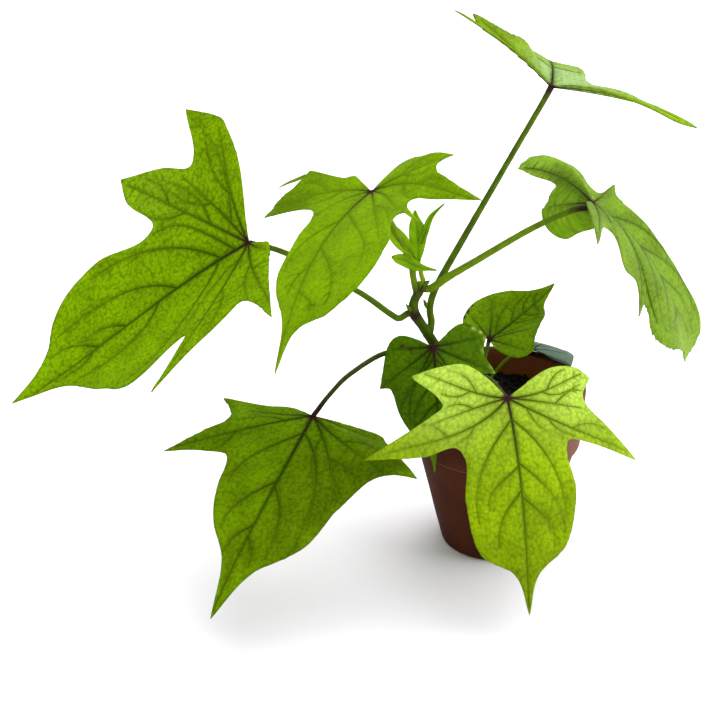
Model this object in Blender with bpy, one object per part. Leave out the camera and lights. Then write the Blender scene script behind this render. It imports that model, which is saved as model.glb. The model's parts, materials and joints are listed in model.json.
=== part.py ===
"""Young sweet potato plant in a small terracotta pot.

A leaning main stem carries nine lobed leaves, each a blade on its own stalk, and a tuft
of young leaves at its tip.  The pot stands on its flat underside at the origin, +Z up,
and the open side of the plant faces -Y.  All sizes below are in millimetres.
"""
import math

import bmesh
import bpy
from mathutils import Matrix, Vector

MM = 0.001
GAP = 0.3                 # clearance between neighbouring pieces

# ---------------------------------------------------------------- pot and soil
POT_HEIGHT = 55.0
BASE_RADIUS = 15.4        # flat underside
HEEL_RADIUS = 16.6        # body just above its rounded heel
BODY_TOP_RADIUS = 25.3    # body where the collar starts
COLLAR_FOOT = 36.3
COLLAR_RADIUS = 26.4
RIM_RADIUS = 27.3
RIM_ROUND = 0.7
MOUTH_RADIUS = 23.6
WALL = 3.2                # thickness of the body below the collar
FLOOR = 4.5               # thickness of the pot's floor
POT_SIDES = 48
SOIL_TOP = 46.0
SOIL_CROWN = 0.6          # how much the soil rises towards its middle

# ---------------------------------------------------------------- limbs
LIMB_SIDES = 8
STEM_SIDES = 10
LIMB_STEP = 3.6           # spacing of a limb's rings along it
SEAT_GAP = 0.4            # clearance between a stalk's end and its blade

# ---------------------------------------------------------------- blades
BLADE_RINGS = 5           # rings between the stalk's seat and the margin
SPAN_STEPS = 2            # margin segments between two stations
TIP = True                # a station where the margin turns a corner
BEND = False              # a station that the margin passes smoothly

TERRACOTTA = (0.30, 0.105, 0.055)
EARTH = (0.022, 0.015, 0.011)
STEM_GREEN = (0.075, 0.16, 0.02)
LEAF_GREENS = {
    "leaf": (0.19, 0.38, 0.012),
    "dark_leaf": (0.08, 0.22, 0.008),
    "bright_leaf": (0.30, 0.50, 0.03),
}

# Every leaf: where its blade sits on its stalk, which way the midrib sets off (heading
# and climb in degrees, then the lean about the midrib), its length, and its thickness.
# The blade is a fan of rays about the stalk.  "fold" says how far the rays rise from the
# leaf's plane and how far they curl down over one leaf length, at a few angles from the
# midrib; "margin" gives the angle and reach of each lobe tip and of each bay or bulge
# between them, from the left base round the tip to the right base.
LEAVES = {
    "left": dict(
        at=(-76.3, 2.0, 101.4), heading=-180, climb=-40, lean=28, length=92, thick=0.95,
        fold=((130, 19, 7), (55, 16, -5), (0, 0, -10), (-60, 15, 7), (-120, 26, 25)),
        margin=((131, 12, BEND), (112, 18, BEND), (103, 26, BEND), (96, 47, TIP), (86, 31, BEND),
                (73, 27.5, BEND), (48, 58.5, TIP), (46, 42, BEND), (43, 36.5, BEND), (30, 55, BEND),
                (16, 62.5, BEND), (4, 73, BEND), (-1, 92.5, TIP), (-6, 80, BEND), (-19, 71, BEND),
                (-30, 57, BEND), (-43, 36.5, BEND), (-52, 49, BEND), (-59, 56, TIP),
                (-71, 43.5, BEND), (-84, 35.5, BEND), (-94, 51.5, TIP), (-111, 38.5, BEND),
                (-118, 26, BEND), (-120, 12, BEND)),
        look="leaf"),
    "upper": dict(
        at=(-39.6, -12.0, 123.0), heading=-124, climb=-15, lean=-23, length=67, thick=0.75,
        fold=((130, 11, 12), (70, -3, 17), (0, 0, 35), (-70, 9, 16), (-125, 15, 3)),
        margin=((154, 8, BEND), (150, 14, BEND), (128, 19.5, BEND), (108, 28.5, TIP),
                (104, 23, BEND), (92, 28, BEND), (81, 44, TIP), (77, 28, BEND), (70, 20, BEND),
                (59, 32.5, TIP), (54, 23, BEND), (42, 33, BEND), (28, 44.5, BEND), (14, 50, BEND),
                (2, 53, BEND), (-2, 66, TIP), (-5, 52, BEND), (-20, 40, BEND), (-33, 26, BEND),
                (-60, 18.5, BEND), (-75, 37, TIP), (-94, 32, BEND), (-108, 31.5, TIP),
                (-113, 15, BEND), (-124, 12, BEND)),
        look="leaf"),
    "low": dict(
        at=(-57.1, -20.0, 54.3), heading=-115, climb=-17, lean=-4, length=71, thick=0.8,
        fold=((130, -65, 7), (95, -16, 12), (65, 0, 13), (0, 0, 23), (-65, -5, 5), (-120, -18, -26)),
        margin=((128, 5, BEND), (116, 10, BEND), (104, 20, BEND), (92, 23.5, BEND), (70, 42.3, TIP),
                (59, 34.5, BEND), (36, 38.3, BEND), (20, 49.5, BEND), (5, 57, BEND), (-2, 72, TIP),
                (-6, 55, BEND), (-18, 45, BEND), (-31, 35.5, BEND), (-47, 28.5, BEND),
                (-59, 35, BEND), (-66, 48, TIP), (-74, 37, BEND), (-84, 29, BEND), (-101, 38, TIP),
                (-104, 22, BEND), (-113, 14, BEND), (-116, 7, BEND)),
        look="dark_leaf"),
    "front": dict(
        at=(0.1, -29.0, 65.1), heading=-80, climb=-49, lean=12, length=64, thick=0.75,
        fold=((122, 3, 4), (68, 2, 13), (0, 0, 13), (-70, -3, 15), (-130, 15, 3)),
        margin=((122, 10, BEND), (119, 18, BEND), (110, 25, BEND), (101, 28.5, TIP), (88, 25, BEND),
                (74, 33, BEND), (64, 45.5, TIP), (60, 28, BEND), (51, 22.5, BEND), (33, 34.5, BEND),
                (18, 46, BEND), (5, 52.5, BEND), (1, 63.5, TIP), (-3, 52, BEND), (-16, 47, BEND),
                (-28, 34.5, BEND), (-47, 22, BEND), (-60, 32, BEND), (-71, 47.5, TIP),
                (-80, 24, BEND), (-87, 20.5, BEND), (-102, 31.5, TIP), (-112, 24, BEND),
                (-124, 17, BEND), (-130, 8, BEND)),
        look="bright_leaf"),
    "rim": dict(
        at=(-21.1, -12.0, 73.5), heading=-83, climb=-43, lean=-1, length=40, thick=0.6,
        fold=((130, -1, 16), (68, -5, 35), (0, 0, 54), (-60, -20, 43), (-125, -14, 24)),
        margin=((131, 8, BEND), (127, 12, BEND), (116, 14.5, BEND), (102, 17.5, TIP),
                (84, 16, BEND), (67, 21, TIP), (58, 17, BEND), (36, 17, BEND), (12, 19.5, BEND),
                (-1, 32, BEND), (-2, 40, TIP), (-5, 34, BEND), (-21, 26.3, BEND), (-35, 22, BEND),
                (-53, 18.5, BEND), (-62, 21, TIP), (-73, 18, BEND), (-104, 14, BEND),
                (-120, 11.5, BEND), (-126, 6, BEND)),
        look="dark_leaf"),
    "back": dict(
        at=(-2.7, 8.0, 66.2), heading=31, climb=17, lean=-7, length=29, thick=0.5,
        fold=((130, 22, 0), (50, 13, 6), (0, 0, -19), (-45, 18, 0), (-120, 9, 9)),
        margin=((112, 7, BEND), (106, 10.5, BEND), (73, 15, BEND), (48, 18.5, BEND), (16, 23, BEND),
                (4, 29, TIP), (-5, 21.3, BEND), (-20, 19.2, BEND), (-45, 17.3, BEND),
                (-62, 17.2, BEND), (-78, 19, BEND), (-92, 16, BEND), (-106, 6, BEND)),
        look="dark_leaf"),
    "top": dict(
        at=(12.3, 5.0, 148.9), heading=81, climb=7, lean=-24, length=55, thick=0.65,
        fold=((115, 34, 51), (75, 16, 9), (40, 13, 16), (20, 3, 40), (0, 1, 40), (-30, 3, 22),
              (-75, 14, 10), (-115, 39, 63)),
        margin=((112, 8, BEND), (108, 14, BEND), (101, 23, BEND), (93, 36.3, TIP), (87, 28.5, BEND),
                (76, 31, TIP), (66, 26.5, BEND), (48, 21, BEND), (36, 20, BEND), (22, 33, BEND),
                (5, 44, BEND), (0, 55, TIP), (-6, 44, BEND), (-18, 31, BEND), (-34, 19, BEND),
                (-50, 17, BEND), (-65, 22, BEND), (-84, 32.3, TIP), (-89, 30.5, BEND),
                (-95, 44, TIP), (-108, 34, BEND), (-115, 24, BEND), (-116, 10, BEND)),
        look="leaf"),
    "right": dict(
        at=(27.3, 12.0, 110.4), heading=-14, climb=-31, lean=15, length=65, thick=0.75,
        seat=(25.75, 9.95, 109.7),
        fold=((172, -138, 21), (150, -35, 40), (122, 22, 75), (64, 15, -25), (0, 0, 56),
              (-42, 8, 112), (-92, 2, 27)),
        margin=((176, 6, BEND), (164, 9, BEND), (160, 14.5, BEND), (154, 16.5, BEND),
                (140, 15.8, BEND), (135, 16, BEND), (133, 28, BEND), (131, 37, TIP),
                (126, 37.5, BEND), (114, 29, BEND), (97, 9, BEND), (77, 21.2, TIP), (58, 15, BEND),
                (34, 24, BEND), (21, 40, BEND), (17, 58, BEND), (4, 60, TIP), (-4, 54.5, BEND),
                (-15, 51.7, BEND), (-24, 46.8, BEND), (-30, 38, BEND), (-35, 41.7, TIP),
                (-40, 32, BEND), (-54, 29.5, BEND), (-67, 18.3, BEND), (-84, 39, TIP),
                (-90, 26, BEND), (-106, 9, BEND)),
        look="leaf"),
    "far": dict(
        at=(12.0, 17.0, 58.4), heading=57, climb=3, lean=0, length=24, thick=0.5,
        fold=((90, 0, 25), (0, 0, 75), (-90, 0, 30)),
        margin=((97, 7, BEND), (84, 12, BEND), (60, 13, BEND), (25, 16, BEND), (0, 24, TIP),
                (-25, 16.5, BEND), (-60, 13.5, BEND), (-88, 14, TIP), (-97, 7, BEND)),
        look="dark_leaf"),
}

# The main stem and every stalk: points along the middle, each with its radius.
MAIN_STEM = ((-6.2, -1.0, 46.9, 2.3), (-8.6, -1.2, 50.0, 1.75), (-13.6, -1.6, 58.5, 1.6),
             (-20.3, -2.0, 69.8, 1.55), (-24.4, -2.6, 76.8, 1.5), (-26.7, -3.0, 81.0, 1.65),
             (-26.6, -2.8, 84.6, 1.35), (-25.1, -2.4, 87.8, 1.4), (-24.7, -2.2, 90.4, 1.2))
# A stalk's last point stands short of its blade: the seat under the blade is added to it,
# or over it where the stalk comes in from above through the notch between the ears.
STALKS = {
    "left": ((-28.9, -3.2, 80.3, 1.0), (-31.2, -3.2, 78.9, 1.0), (-34.0, -3.0, 80.4, 0.95),
             (-43.9, -1.0, 87.0, 0.9), (-64.6, 1.0, 98.2, 0.85)),
    "upper": ((-27.0, -3.5, 90.7, 1.0), (-26.8, -3.4, 94.5, 1.05), (-27.5, -3.4, 97.6, 1.0),
              (-31.6, -5.4, 106.6, 0.95), (-36.6, -9.2, 117.0, 0.8)),
    "low": ((-18.7, -1.7, 61.6, 0.85), (-26.2, -1.0, 65.8, 0.85), (-35.3, -2.6, 66.8, 0.8),
            (-46.0, -11.6, 64.2, 0.75), (-52.0, -16.6, 60.0, 0.7)),
    "front": ((-8.3, -3.2, 54.0, 0.9), (-5.2, -5.4, 59.6, 0.85), (-3.0, -12.0, 62.0, 0.8),
              (-0.8, -22.5, 63.4, 0.75)),
    "rim": ((-19.3, -4.25, 67.6, 0.8), (-20.2, -7.2, 69.8, 0.75)),
    "back": ((-7.65, 0.45, 51.8, 0.7), (-5.2, 3.8, 57.0, 0.65), (-3.4, 7.0, 63.0, 0.6)),
    "top": ((-18.5, -0.7, 72.2, 1.15), (-21.2, 0.0, 76.2, 1.1), (-21.7, 0.5, 80.0, 1.05),
            (-20.7, 1.0, 85.2, 1.05), (-16.7, 1.8, 93.7, 1.05), (1.1, 3.5, 127.7, 0.85),
            (9.6, 4.6, 143.5, 0.85)),
    "right": ((-22.3, -3.2, 88.7, 1.15), (-20.0, -3.7, 90.2, 1.2), (-16.1, -3.6, 93.1, 1.15),
              (-10.1, -2.6, 96.4, 1.05), (8.1, 4.0, 105.0, 0.95), (20.5, 8.3, 109.2, 0.9)),
    "far": ((-2.0, 15.4, 46.9, 0.55), (0.0, 16.2, 50.2, 0.5), (3.4, 16.8, 54.6, 0.5),
            (7.0, 17.0, 57.0, 0.45)),
}

# The tuft at the stem's tip: a short shoot, and folded young blades that grow from it.
# A blade is a path along its midrib; each point has the half width on either side.
SHOOT = ((-24.4, -2.0, 91.9, 1.05), (-24.2, -2.0, 95.0, 0.95), (-24.6, -2.0, 98.5, 0.6))
YOUNG_BLADES = (
    ("upright", ((-24.9, -2.2, 96.0, 0.5), (-25.2, -2.6, 101.0, 2.0), (-26.2, -3.2, 106.5, 2.4),
                 (-27.0, -3.4, 112.0, 0.3))),
    ("finger", ((-25.4, -2.8, 103.0, 1.6), (-23.6, -3.6, 108.0, 1.1), (-21.6, -4.0, 111.4, 0.6),
                (-18.2, -4.2, 115.0, 0.25))),
    ("sloping", ((-24.7, -1.6, 96.0, 0.5), (-27.8, 1.0, 101.0, 1.9), (-30.6, 2.2, 105.6, 1.6),
                 (-32.8, 2.6, 109.4, 0.25))),
    ("sidelong", ((-24.9, -1.7, 96.6, 0.5), (-29.0, 0.6, 100.0, 1.4), (-32.0, 1.2, 102.2, 1.1),
                  (-34.6, 1.4, 103.6, 0.25))),
    ("level", ((-20.2, -3.4, 95.9, 0.25), (-23.9, -2.6, 96.3, 0.9), (-26.0, -5.2, 97.3, 1.3),
               (-28.6, -6.0, 98.5, 1.7), (-31.6, -5.8, 99.8, 1.5), (-33.6, -5.5, 100.6, 0.3))),
)
YOUNG_THICK = 0.55
YOUNG_FOLD = 30.0         # degrees that each half of a young blade rises


def clear_scene():
    for item in list(bpy.data.objects):
        bpy.data.objects.remove(item, do_unlink=True)


def material(name, color, roughness):
    mat = bpy.data.materials.new(name)
    mat.use_nodes = True
    shader = mat.node_tree.nodes["Principled BSDF"]
    shader.inputs["Base Color"].default_value = (*color, 1.0)
    shader.inputs["Roughness"].default_value = roughness
    return mat


def add_object(name, bm, mat):
    """Turn a bmesh whose sizes are in millimetres into a smooth-shaded object in metres."""
    bmesh.ops.scale(bm, vec=(MM, MM, MM), verts=bm.verts)
    mesh = bpy.data.meshes.new(name)
    bm.to_mesh(mesh)
    bm.free()
    mesh.shade_smooth()
    mesh.set_sharp_from_angle(angle=math.radians(40))
    mesh.materials.append(mat)
    obj = bpy.data.objects.new(name, mesh)
    bpy.context.scene.collection.objects.link(obj)
    return obj


# ---------------------------------------------------------------- turned pieces
def turned(name, profile, mat, sides=POT_SIDES):
    """Spin a profile of (radius, height) corners, from axis to axis, into a closed solid."""
    bm = bmesh.new()
    rings = []
    for radius, height in profile:
        if radius == 0:
            rings.append([bm.verts.new((0, 0, height))])
            continue
        turn = 2 * math.pi / sides
        rings.append([bm.verts.new((radius * math.cos(i * turn), radius * math.sin(i * turn), height))
                      for i in range(sides)])
    for lower, upper in zip(rings, rings[1:]):
        for i in range(sides):
            j = (i + 1) % sides
            if len(lower) == 1:
                bm.faces.new((lower[0], upper[j], upper[i]))
            elif len(upper) == 1:
                bm.faces.new((lower[i], lower[j], upper[0]))
            else:
                bm.faces.new((lower[i], lower[j], upper[j], upper[i]))
    return add_object(name, bm, mat)


def inner_radius(height):
    """Radius of the pot's cavity: a wall inside the body, then a steeper rise to the mouth."""
    shoulder = BODY_TOP_RADIUS - WALL
    if height > COLLAR_FOOT:
        return shoulder + (MOUTH_RADIUS - shoulder) * (height - COLLAR_FOOT) / (POT_HEIGHT - COLLAR_FOOT)
    return shoulder - (BODY_TOP_RADIUS - HEEL_RADIUS) * (COLLAR_FOOT - height) / COLLAR_FOOT


def build_pot(mat):
    heel = HEEL_RADIUS - BASE_RADIUS
    turned("pot", (
        (0, 0), (BASE_RADIUS, 0), (HEEL_RADIUS - 0.35, heel * 0.3), (HEEL_RADIUS, heel),
        (BODY_TOP_RADIUS, COLLAR_FOOT), (COLLAR_RADIUS, COLLAR_FOOT + 0.5),
        (RIM_RADIUS, POT_HEIGHT - RIM_ROUND), (RIM_RADIUS - RIM_ROUND, POT_HEIGHT),
        (MOUTH_RADIUS + RIM_ROUND, POT_HEIGHT), (MOUTH_RADIUS, POT_HEIGHT - RIM_ROUND),
        (inner_radius(COLLAR_FOOT), COLLAR_FOOT), (inner_radius(FLOOR), FLOOR), (0, FLOOR)), mat)


def build_soil(mat):
    foot = FLOOR + GAP
    edge = SOIL_TOP - SOIL_CROWN
    turned("soil", (
        (0, foot), (inner_radius(foot) - GAP, foot), (inner_radius(COLLAR_FOOT) - GAP, COLLAR_FOOT),
        (inner_radius(edge) - GAP, edge), (inner_radius(edge) * 0.55, SOIL_TOP - 0.1),
        (0, SOIL_TOP)), mat)


# ---------------------------------------------------------------- limbs
def smooth_path(points, step):
    """Read points off a Catmull-Rom curve through the given (x, y, z, size) points."""
    pts = [Vector(p) for p in points]
    ends = [2 * pts[0] - pts[1]] + pts + [2 * pts[-1] - pts[-2]]
    path = []
    for a, b, c, d in zip(ends, ends[1:], ends[2:], ends[3:]):
        count = max(1, round((c.xyz - b.xyz).length / step))
        for i in range(count):
            t = i / count
            path.append(0.5 * ((2 * b) + (c - a) * t + (2 * a - 5 * b + 4 * c - d) * t * t
                               + (3 * b - a - 3 * c + d) * t ** 3))
    path.append(pts[-1])
    return path


def limb_mesh(points, sides, step=LIMB_STEP):
    """A round tapering limb along a path, closed by flat ends."""
    path = smooth_path(points, step)
    bm = bmesh.new()
    side = None
    rings = []
    for i, point in enumerate(path):
        ahead = path[min(i + 1, len(path) - 1)].xyz
        behind = path[max(i - 1, 0)].xyz
        along = (ahead - behind).normalized()
        if side is None:
            side = along.orthogonal().normalized()
        side = (side - side.dot(along) * along).normalized()
        across = along.cross(side)
        ring = []
        for j in range(sides):
            angle = 2 * math.pi * j / sides
            spoke = side * math.cos(angle) + across * math.sin(angle)
            ring.append(bm.verts.new(point.xyz + point.w * spoke))
        rings.append(ring)
    for lower, upper in zip(rings, rings[1:]):
        for i in range(sides):
            j = (i + 1) % sides
            bm.faces.new((lower[i], lower[j], upper[j], upper[i]))
    bm.faces.new(list(reversed(rings[0])))
    bm.faces.new(rings[-1])
    return bm


def build_main_stem(mat):
    """The stem is cut level where it meets the soil and rounds off at its tip."""
    bm = limb_mesh(MAIN_STEM, STEM_SIDES)
    foot = MAIN_STEM[0][2]
    for vert in bm.verts[:STEM_SIDES]:
        vert.co.z = foot
    add_object("main_stem", bm, mat)


# ---------------------------------------------------------------- blades
def ease(rows, angle):
    """Read (rise, curl) at an angle from rows of (angle, rise, curl), eased between rows."""
    rows = sorted(rows)
    angle = min(max(angle, rows[0][0]), rows[-1][0])
    for (a0, rise0, curl0), (a1, rise1, curl1) in zip(rows, rows[1:]):
        if angle <= a1:
            t = (angle - a0) / (a1 - a0)
            t = t * t * (3 - 2 * t)
            return rise0 + (rise1 - rise0) * t, curl0 + (curl1 - curl0) * t
    return rows[-1][1:]


def margin_curve(margin, steps):
    """Flat outline through the stations: round at a bend, turning a corner at a tip."""
    flat = [Vector((reach * math.cos(math.radians(angle)), reach * math.sin(math.radians(angle))))
            for angle, reach, corner in margin]
    outline = []
    for i in range(len(flat) - 1):
        start, end = flat[i], flat[i + 1]
        before = flat[i - 1] if i else Vector((0, 0))
        after = flat[i + 2] if i + 2 < len(flat) else Vector((0, 0))
        chord = (end - start).length
        leave = (end - start) if margin[i][2] else (end - before).normalized() * chord
        arrive = (end - start) if margin[i + 1][2] else (after - start).normalized() * chord
        for k in range(steps):
            t = k / steps
            outline.append(start * (2 * t ** 3 - 3 * t * t + 1) + leave * (t ** 3 - 2 * t * t + t)
                           + end * (3 * t * t - 2 * t ** 3) + arrive * (t ** 3 - t * t))
    outline.append(flat[-1])
    return outline


def ray_point(distance, angle, rise, curl, length):
    """A point on a ray that leaves the stalk at a rise and curls down at an even rate."""
    bend = math.radians(curl) / length
    if abs(bend) < 1e-6:
        bend = 1e-6
    rise = math.radians(rise)
    out = (math.sin(rise) - math.sin(rise - bend * distance)) / bend
    up = (math.cos(rise - bend * distance) - math.cos(rise)) / bend
    angle = math.radians(angle)
    return Vector((out * math.cos(angle), out * math.sin(angle), up))


def blade_frame(leaf):
    """Matrix from the blade's own axes (midrib, left, upper face) to the plant's."""
    heading = math.radians(leaf["heading"])
    climb = math.radians(leaf["climb"])
    lean = math.radians(leaf["lean"])
    along = Vector((math.cos(climb) * math.cos(heading), math.cos(climb) * math.sin(heading), math.sin(climb)))
    upright = (Vector((0, 0, 1)) - along.z * along).normalized()
    level = upright.cross(along)
    face = upright * math.cos(lean) + level * math.sin(lean)
    left = level * math.cos(lean) - upright * math.sin(lean)
    frame = Matrix((along, left, face)).transposed().to_4x4()
    return Matrix.Translation(leaf["at"]) @ frame


def seat_under(leaf, last):
    """Where a stalk ends: clear of its blade by the gap, whatever slant it comes at.

    A blade whose ear hangs down behind its stalk names the end of the stalk itself.
    """
    if "seat" in leaf:
        return (*leaf["seat"], last.w)
    frame = blade_frame(leaf)
    face = frame.col[2].xyz
    slant = (frame.translation - last.xyz).normalized().dot(face)
    drop = leaf["thick"] / 2 + SEAT_GAP + last.w * math.sqrt(1 - slant * slant)
    return (*(frame.translation - face * math.copysign(drop, slant)), last.w)


def build_stalk(name, mat):
    points = STALKS[name]
    seat = seat_under(LEAVES[name], Vector(points[-1]))
    add_object("stalk_" + name, limb_mesh((*points, seat), LIMB_SIDES), mat)


def build_blade(name, leaf, mat):
    bm = bmesh.new()
    seat = bm.verts.new((0, 0, 0))
    rings = [[] for _ in range(BLADE_RINGS)]
    for point in margin_curve(leaf["margin"], SPAN_STEPS):
        angle = math.degrees(math.atan2(point.y, point.x))
        reach = point.length
        rise, curl = ease(leaf["fold"], angle)
        for k in range(BLADE_RINGS):
            distance = reach * (k + 1) / BLADE_RINGS
            rings[k].append(bm.verts.new(ray_point(distance, angle, rise, curl, leaf["length"])))
    for i in range(len(rings[0]) - 1):
        bm.faces.new((seat, rings[0][i + 1], rings[0][i]))
        for inner, outer in zip(rings, rings[1:]):
            bm.faces.new((inner[i], inner[i + 1], outer[i + 1], outer[i]))
    bmesh.ops.transform(bm, matrix=blade_frame(leaf), verts=bm.verts)
    obj = add_object(name, bm, mat)
    thicken = obj.modifiers.new("thickness", "SOLIDIFY")
    thicken.thickness = leaf["thick"] * MM
    thicken.offset = 0.0
    return obj


# ---------------------------------------------------------------- young leaves
def folded_blade(points, thick):
    """A narrow blade folded up along its midrib, as a closed solid."""
    path = smooth_path(points, 1.6)
    bm = bmesh.new()
    rows = []
    rise = math.radians(YOUNG_FOLD)
    facing = Vector((0, -1, 0.35))
    for i, point in enumerate(path):
        along = (path[min(i + 1, len(path) - 1)].xyz - path[max(i - 1, 0)].xyz).normalized()
        face = (facing - facing.dot(along) * along).normalized()
        side = face.cross(along)
        half = point.w
        lift = face * (half * math.sin(rise))
        reach = side * (half * math.cos(rise))
        skin = face * (thick / 2)
        left, middle, right = point.xyz + reach + lift, point.xyz, point.xyz - reach + lift
        rows.append([bm.verts.new(p) for p in (left + skin, middle + skin, right + skin,
                                               right - skin, middle - skin, left - skin)])
    for lower, upper in zip(rows, rows[1:]):
        for i in range(6):
            j = (i + 1) % 6
            bm.faces.new((lower[i], lower[j], upper[j], upper[i]))
    bm.faces.new(list(reversed(rows[0])))
    bm.faces.new(rows[-1])
    bmesh.ops.triangulate(bm, faces=[f for f in bm.faces if len(f.verts) > 4])
    bmesh.ops.recalc_face_normals(bm, faces=bm.faces)
    return bm


def build_young_leaves(mat):
    """The shoot and its young blades, fused into one solid."""
    parts = bpy.data.collections.new("young_parts")
    bpy.context.scene.collection.children.link(parts)
    tuft = add_object("young_leaves", limb_mesh(SHOOT, LIMB_SIDES, step=1.5), mat)
    for name, points in YOUNG_BLADES:
        blade = add_object("young_" + name, folded_blade(points, YOUNG_THICK), mat)
        bpy.context.scene.collection.objects.unlink(blade)
        parts.objects.link(blade)
    join = tuft.modifiers.new("join", "BOOLEAN")
    join.operation = "UNION"
    join.operand_type = "COLLECTION"
    join.collection = parts
    join.solver = "EXACT"
    fused = bpy.data.meshes.new_from_object(tuft.evaluated_get(bpy.context.evaluated_depsgraph_get()))
    tuft.modifiers.clear()
    tuft.data = fused
    for blade in list(parts.objects):
        bpy.data.objects.remove(blade, do_unlink=True)
    bpy.data.collections.remove(parts)


def main():
    clear_scene()
    build_pot(material("terracotta", TERRACOTTA, 0.85))
    build_soil(material("soil", EARTH, 0.95))
    stem_mat = material("stem", STEM_GREEN, 0.45)
    build_main_stem(stem_mat)
    for name in STALKS:
        build_stalk(name, stem_mat)
    leaf_mats = {look: material(look, color, 0.5) for look, color in LEAF_GREENS.items()}
    for name, leaf in LEAVES.items():
        build_blade("leaf_" + name, leaf, leaf_mats[leaf["look"]])
    build_young_leaves(leaf_mats["bright_leaf"])


main()
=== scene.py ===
# %% [markdown]
# # A young sweet potato plant in a small terracotta pot
#
# The plant leans out of its pot on one stem. Nine lobed leaves sit on their own stalks,
# and a tuft of folded young leaves stands at the stem's tip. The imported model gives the
# frame: each of its plain solids is replaced by a piece made here. The veins' ridges and
# the loose crumbs of soil are added to them.

# %% The frame
import json
import math

import bpy
import numpy as np
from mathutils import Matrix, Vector, noise

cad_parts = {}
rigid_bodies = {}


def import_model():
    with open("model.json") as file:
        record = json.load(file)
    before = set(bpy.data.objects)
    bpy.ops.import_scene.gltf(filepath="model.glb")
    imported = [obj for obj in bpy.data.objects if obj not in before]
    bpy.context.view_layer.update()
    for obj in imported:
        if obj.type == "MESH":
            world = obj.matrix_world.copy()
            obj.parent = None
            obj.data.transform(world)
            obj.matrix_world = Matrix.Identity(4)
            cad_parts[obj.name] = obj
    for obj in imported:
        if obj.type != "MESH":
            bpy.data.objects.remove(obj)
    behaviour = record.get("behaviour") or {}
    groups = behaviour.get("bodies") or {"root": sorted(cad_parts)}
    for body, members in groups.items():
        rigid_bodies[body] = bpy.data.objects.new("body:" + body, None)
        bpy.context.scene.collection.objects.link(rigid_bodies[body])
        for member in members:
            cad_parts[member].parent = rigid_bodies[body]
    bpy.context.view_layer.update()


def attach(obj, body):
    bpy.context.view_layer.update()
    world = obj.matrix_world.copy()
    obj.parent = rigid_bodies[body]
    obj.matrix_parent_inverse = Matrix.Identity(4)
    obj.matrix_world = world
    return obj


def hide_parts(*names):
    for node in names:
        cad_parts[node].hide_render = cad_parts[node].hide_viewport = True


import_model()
MM = 0.001

# %% [markdown]
# The camera stands in front of the plant and looks down on it by some 26 degrees, through
# a long lens, so that the pot's rim shows as an ellipse and the sides hardly converge.

# %% Camera
CAMERA_PLACE = (-0.043, -0.471, 0.296)
CAMERA_PITCH = 26.3                    # degrees below level
CAMERA_LENS = 85.0

bpy.ops.object.select_all(action="DESELECT")
bpy.ops.object.camera_add(location=CAMERA_PLACE, rotation=(math.radians(90 - CAMERA_PITCH), 0, 0))
camera = bpy.context.active_object
camera.name = "camera"
camera.data.lens = CAMERA_LENS
camera.data.sensor_width = 36.0
camera.data.clip_start = 0.01
camera.data.clip_end = 20.0
bpy.context.scene.camera = camera
print("camera at", CAMERA_PLACE)

# %% [markdown]
# A plant like this is thin and lets light through, so its main light is a sun lamp high up,
# behind it and to the right: it makes the blades glow and leaves the pot's near side dark.
# Its wide angle lights the pale floor evenly and keeps the shadow soft. A low panel on the
# right picks out the pot's flank, and the white surroundings fill the rest. The standard
# view shows colours as they are painted, which keeps the strong greens.

# %% Floor and lights
def aimed_light(kind, name, place, power, aim=(0.0, 0.0, 0.05)):
    """A lamp at a place, facing a point of the plant."""
    bpy.ops.object.select_all(action="DESELECT")
    bpy.ops.object.light_add(type=kind, location=place)
    lamp = bpy.context.active_object
    lamp.name = name
    lamp.data.energy = power
    towards = Vector(aim) - Vector(place)
    lamp.rotation_euler = towards.to_track_quat("-Z", "Y").to_euler()
    return lamp


SUN_ANGLE = 75                         # degrees across, which softens its shadows
SURROUNDINGS = 0.90                    # strength of the white all round
FLOOR_COLOUR = (0.95, 0.92, 0.98, 1)

high_light = aimed_light("SUN", "high_light", (0.42, 0.25, 1.0), 2.9)
high_light.data.angle = math.radians(SUN_ANGLE)
side_panel = aimed_light("AREA", "side_panel", (0.60, -0.12, 0.16), 2.2)
side_panel.data.shape = "SQUARE"
side_panel.data.size = 0.30

world = bpy.data.worlds.new("studio")
world.use_nodes = True
sky = world.node_tree.nodes["Background"].inputs
sky["Color"].default_value = (1, 1, 1, 1)
sky["Strength"].default_value = SURROUNDINGS
bpy.context.scene.world = world
bpy.context.scene.view_settings.view_transform = "Standard"

bpy.ops.object.select_all(action="DESELECT")
bpy.ops.mesh.primitive_plane_add(size=6.0, location=(0, 0, 0))
floor = bpy.context.active_object
floor.name = "floor"
floor_mat = bpy.data.materials.new("pale_floor")
floor_mat.use_nodes = True
paint = floor_mat.node_tree.nodes["Principled BSDF"].inputs
paint["Base Color"].default_value = FLOOR_COLOUR
paint["Roughness"].default_value = 0.9
floor.data.materials.append(floor_mat)

# %% [markdown]
# Finishes are node trees. To write their sums as plain Python, one small class wraps an
# output socket and turns `+`, `-` and `*` into Math nodes; every other node comes from its
# method `node`, which takes the node's kind, its settings and its inputs.

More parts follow.
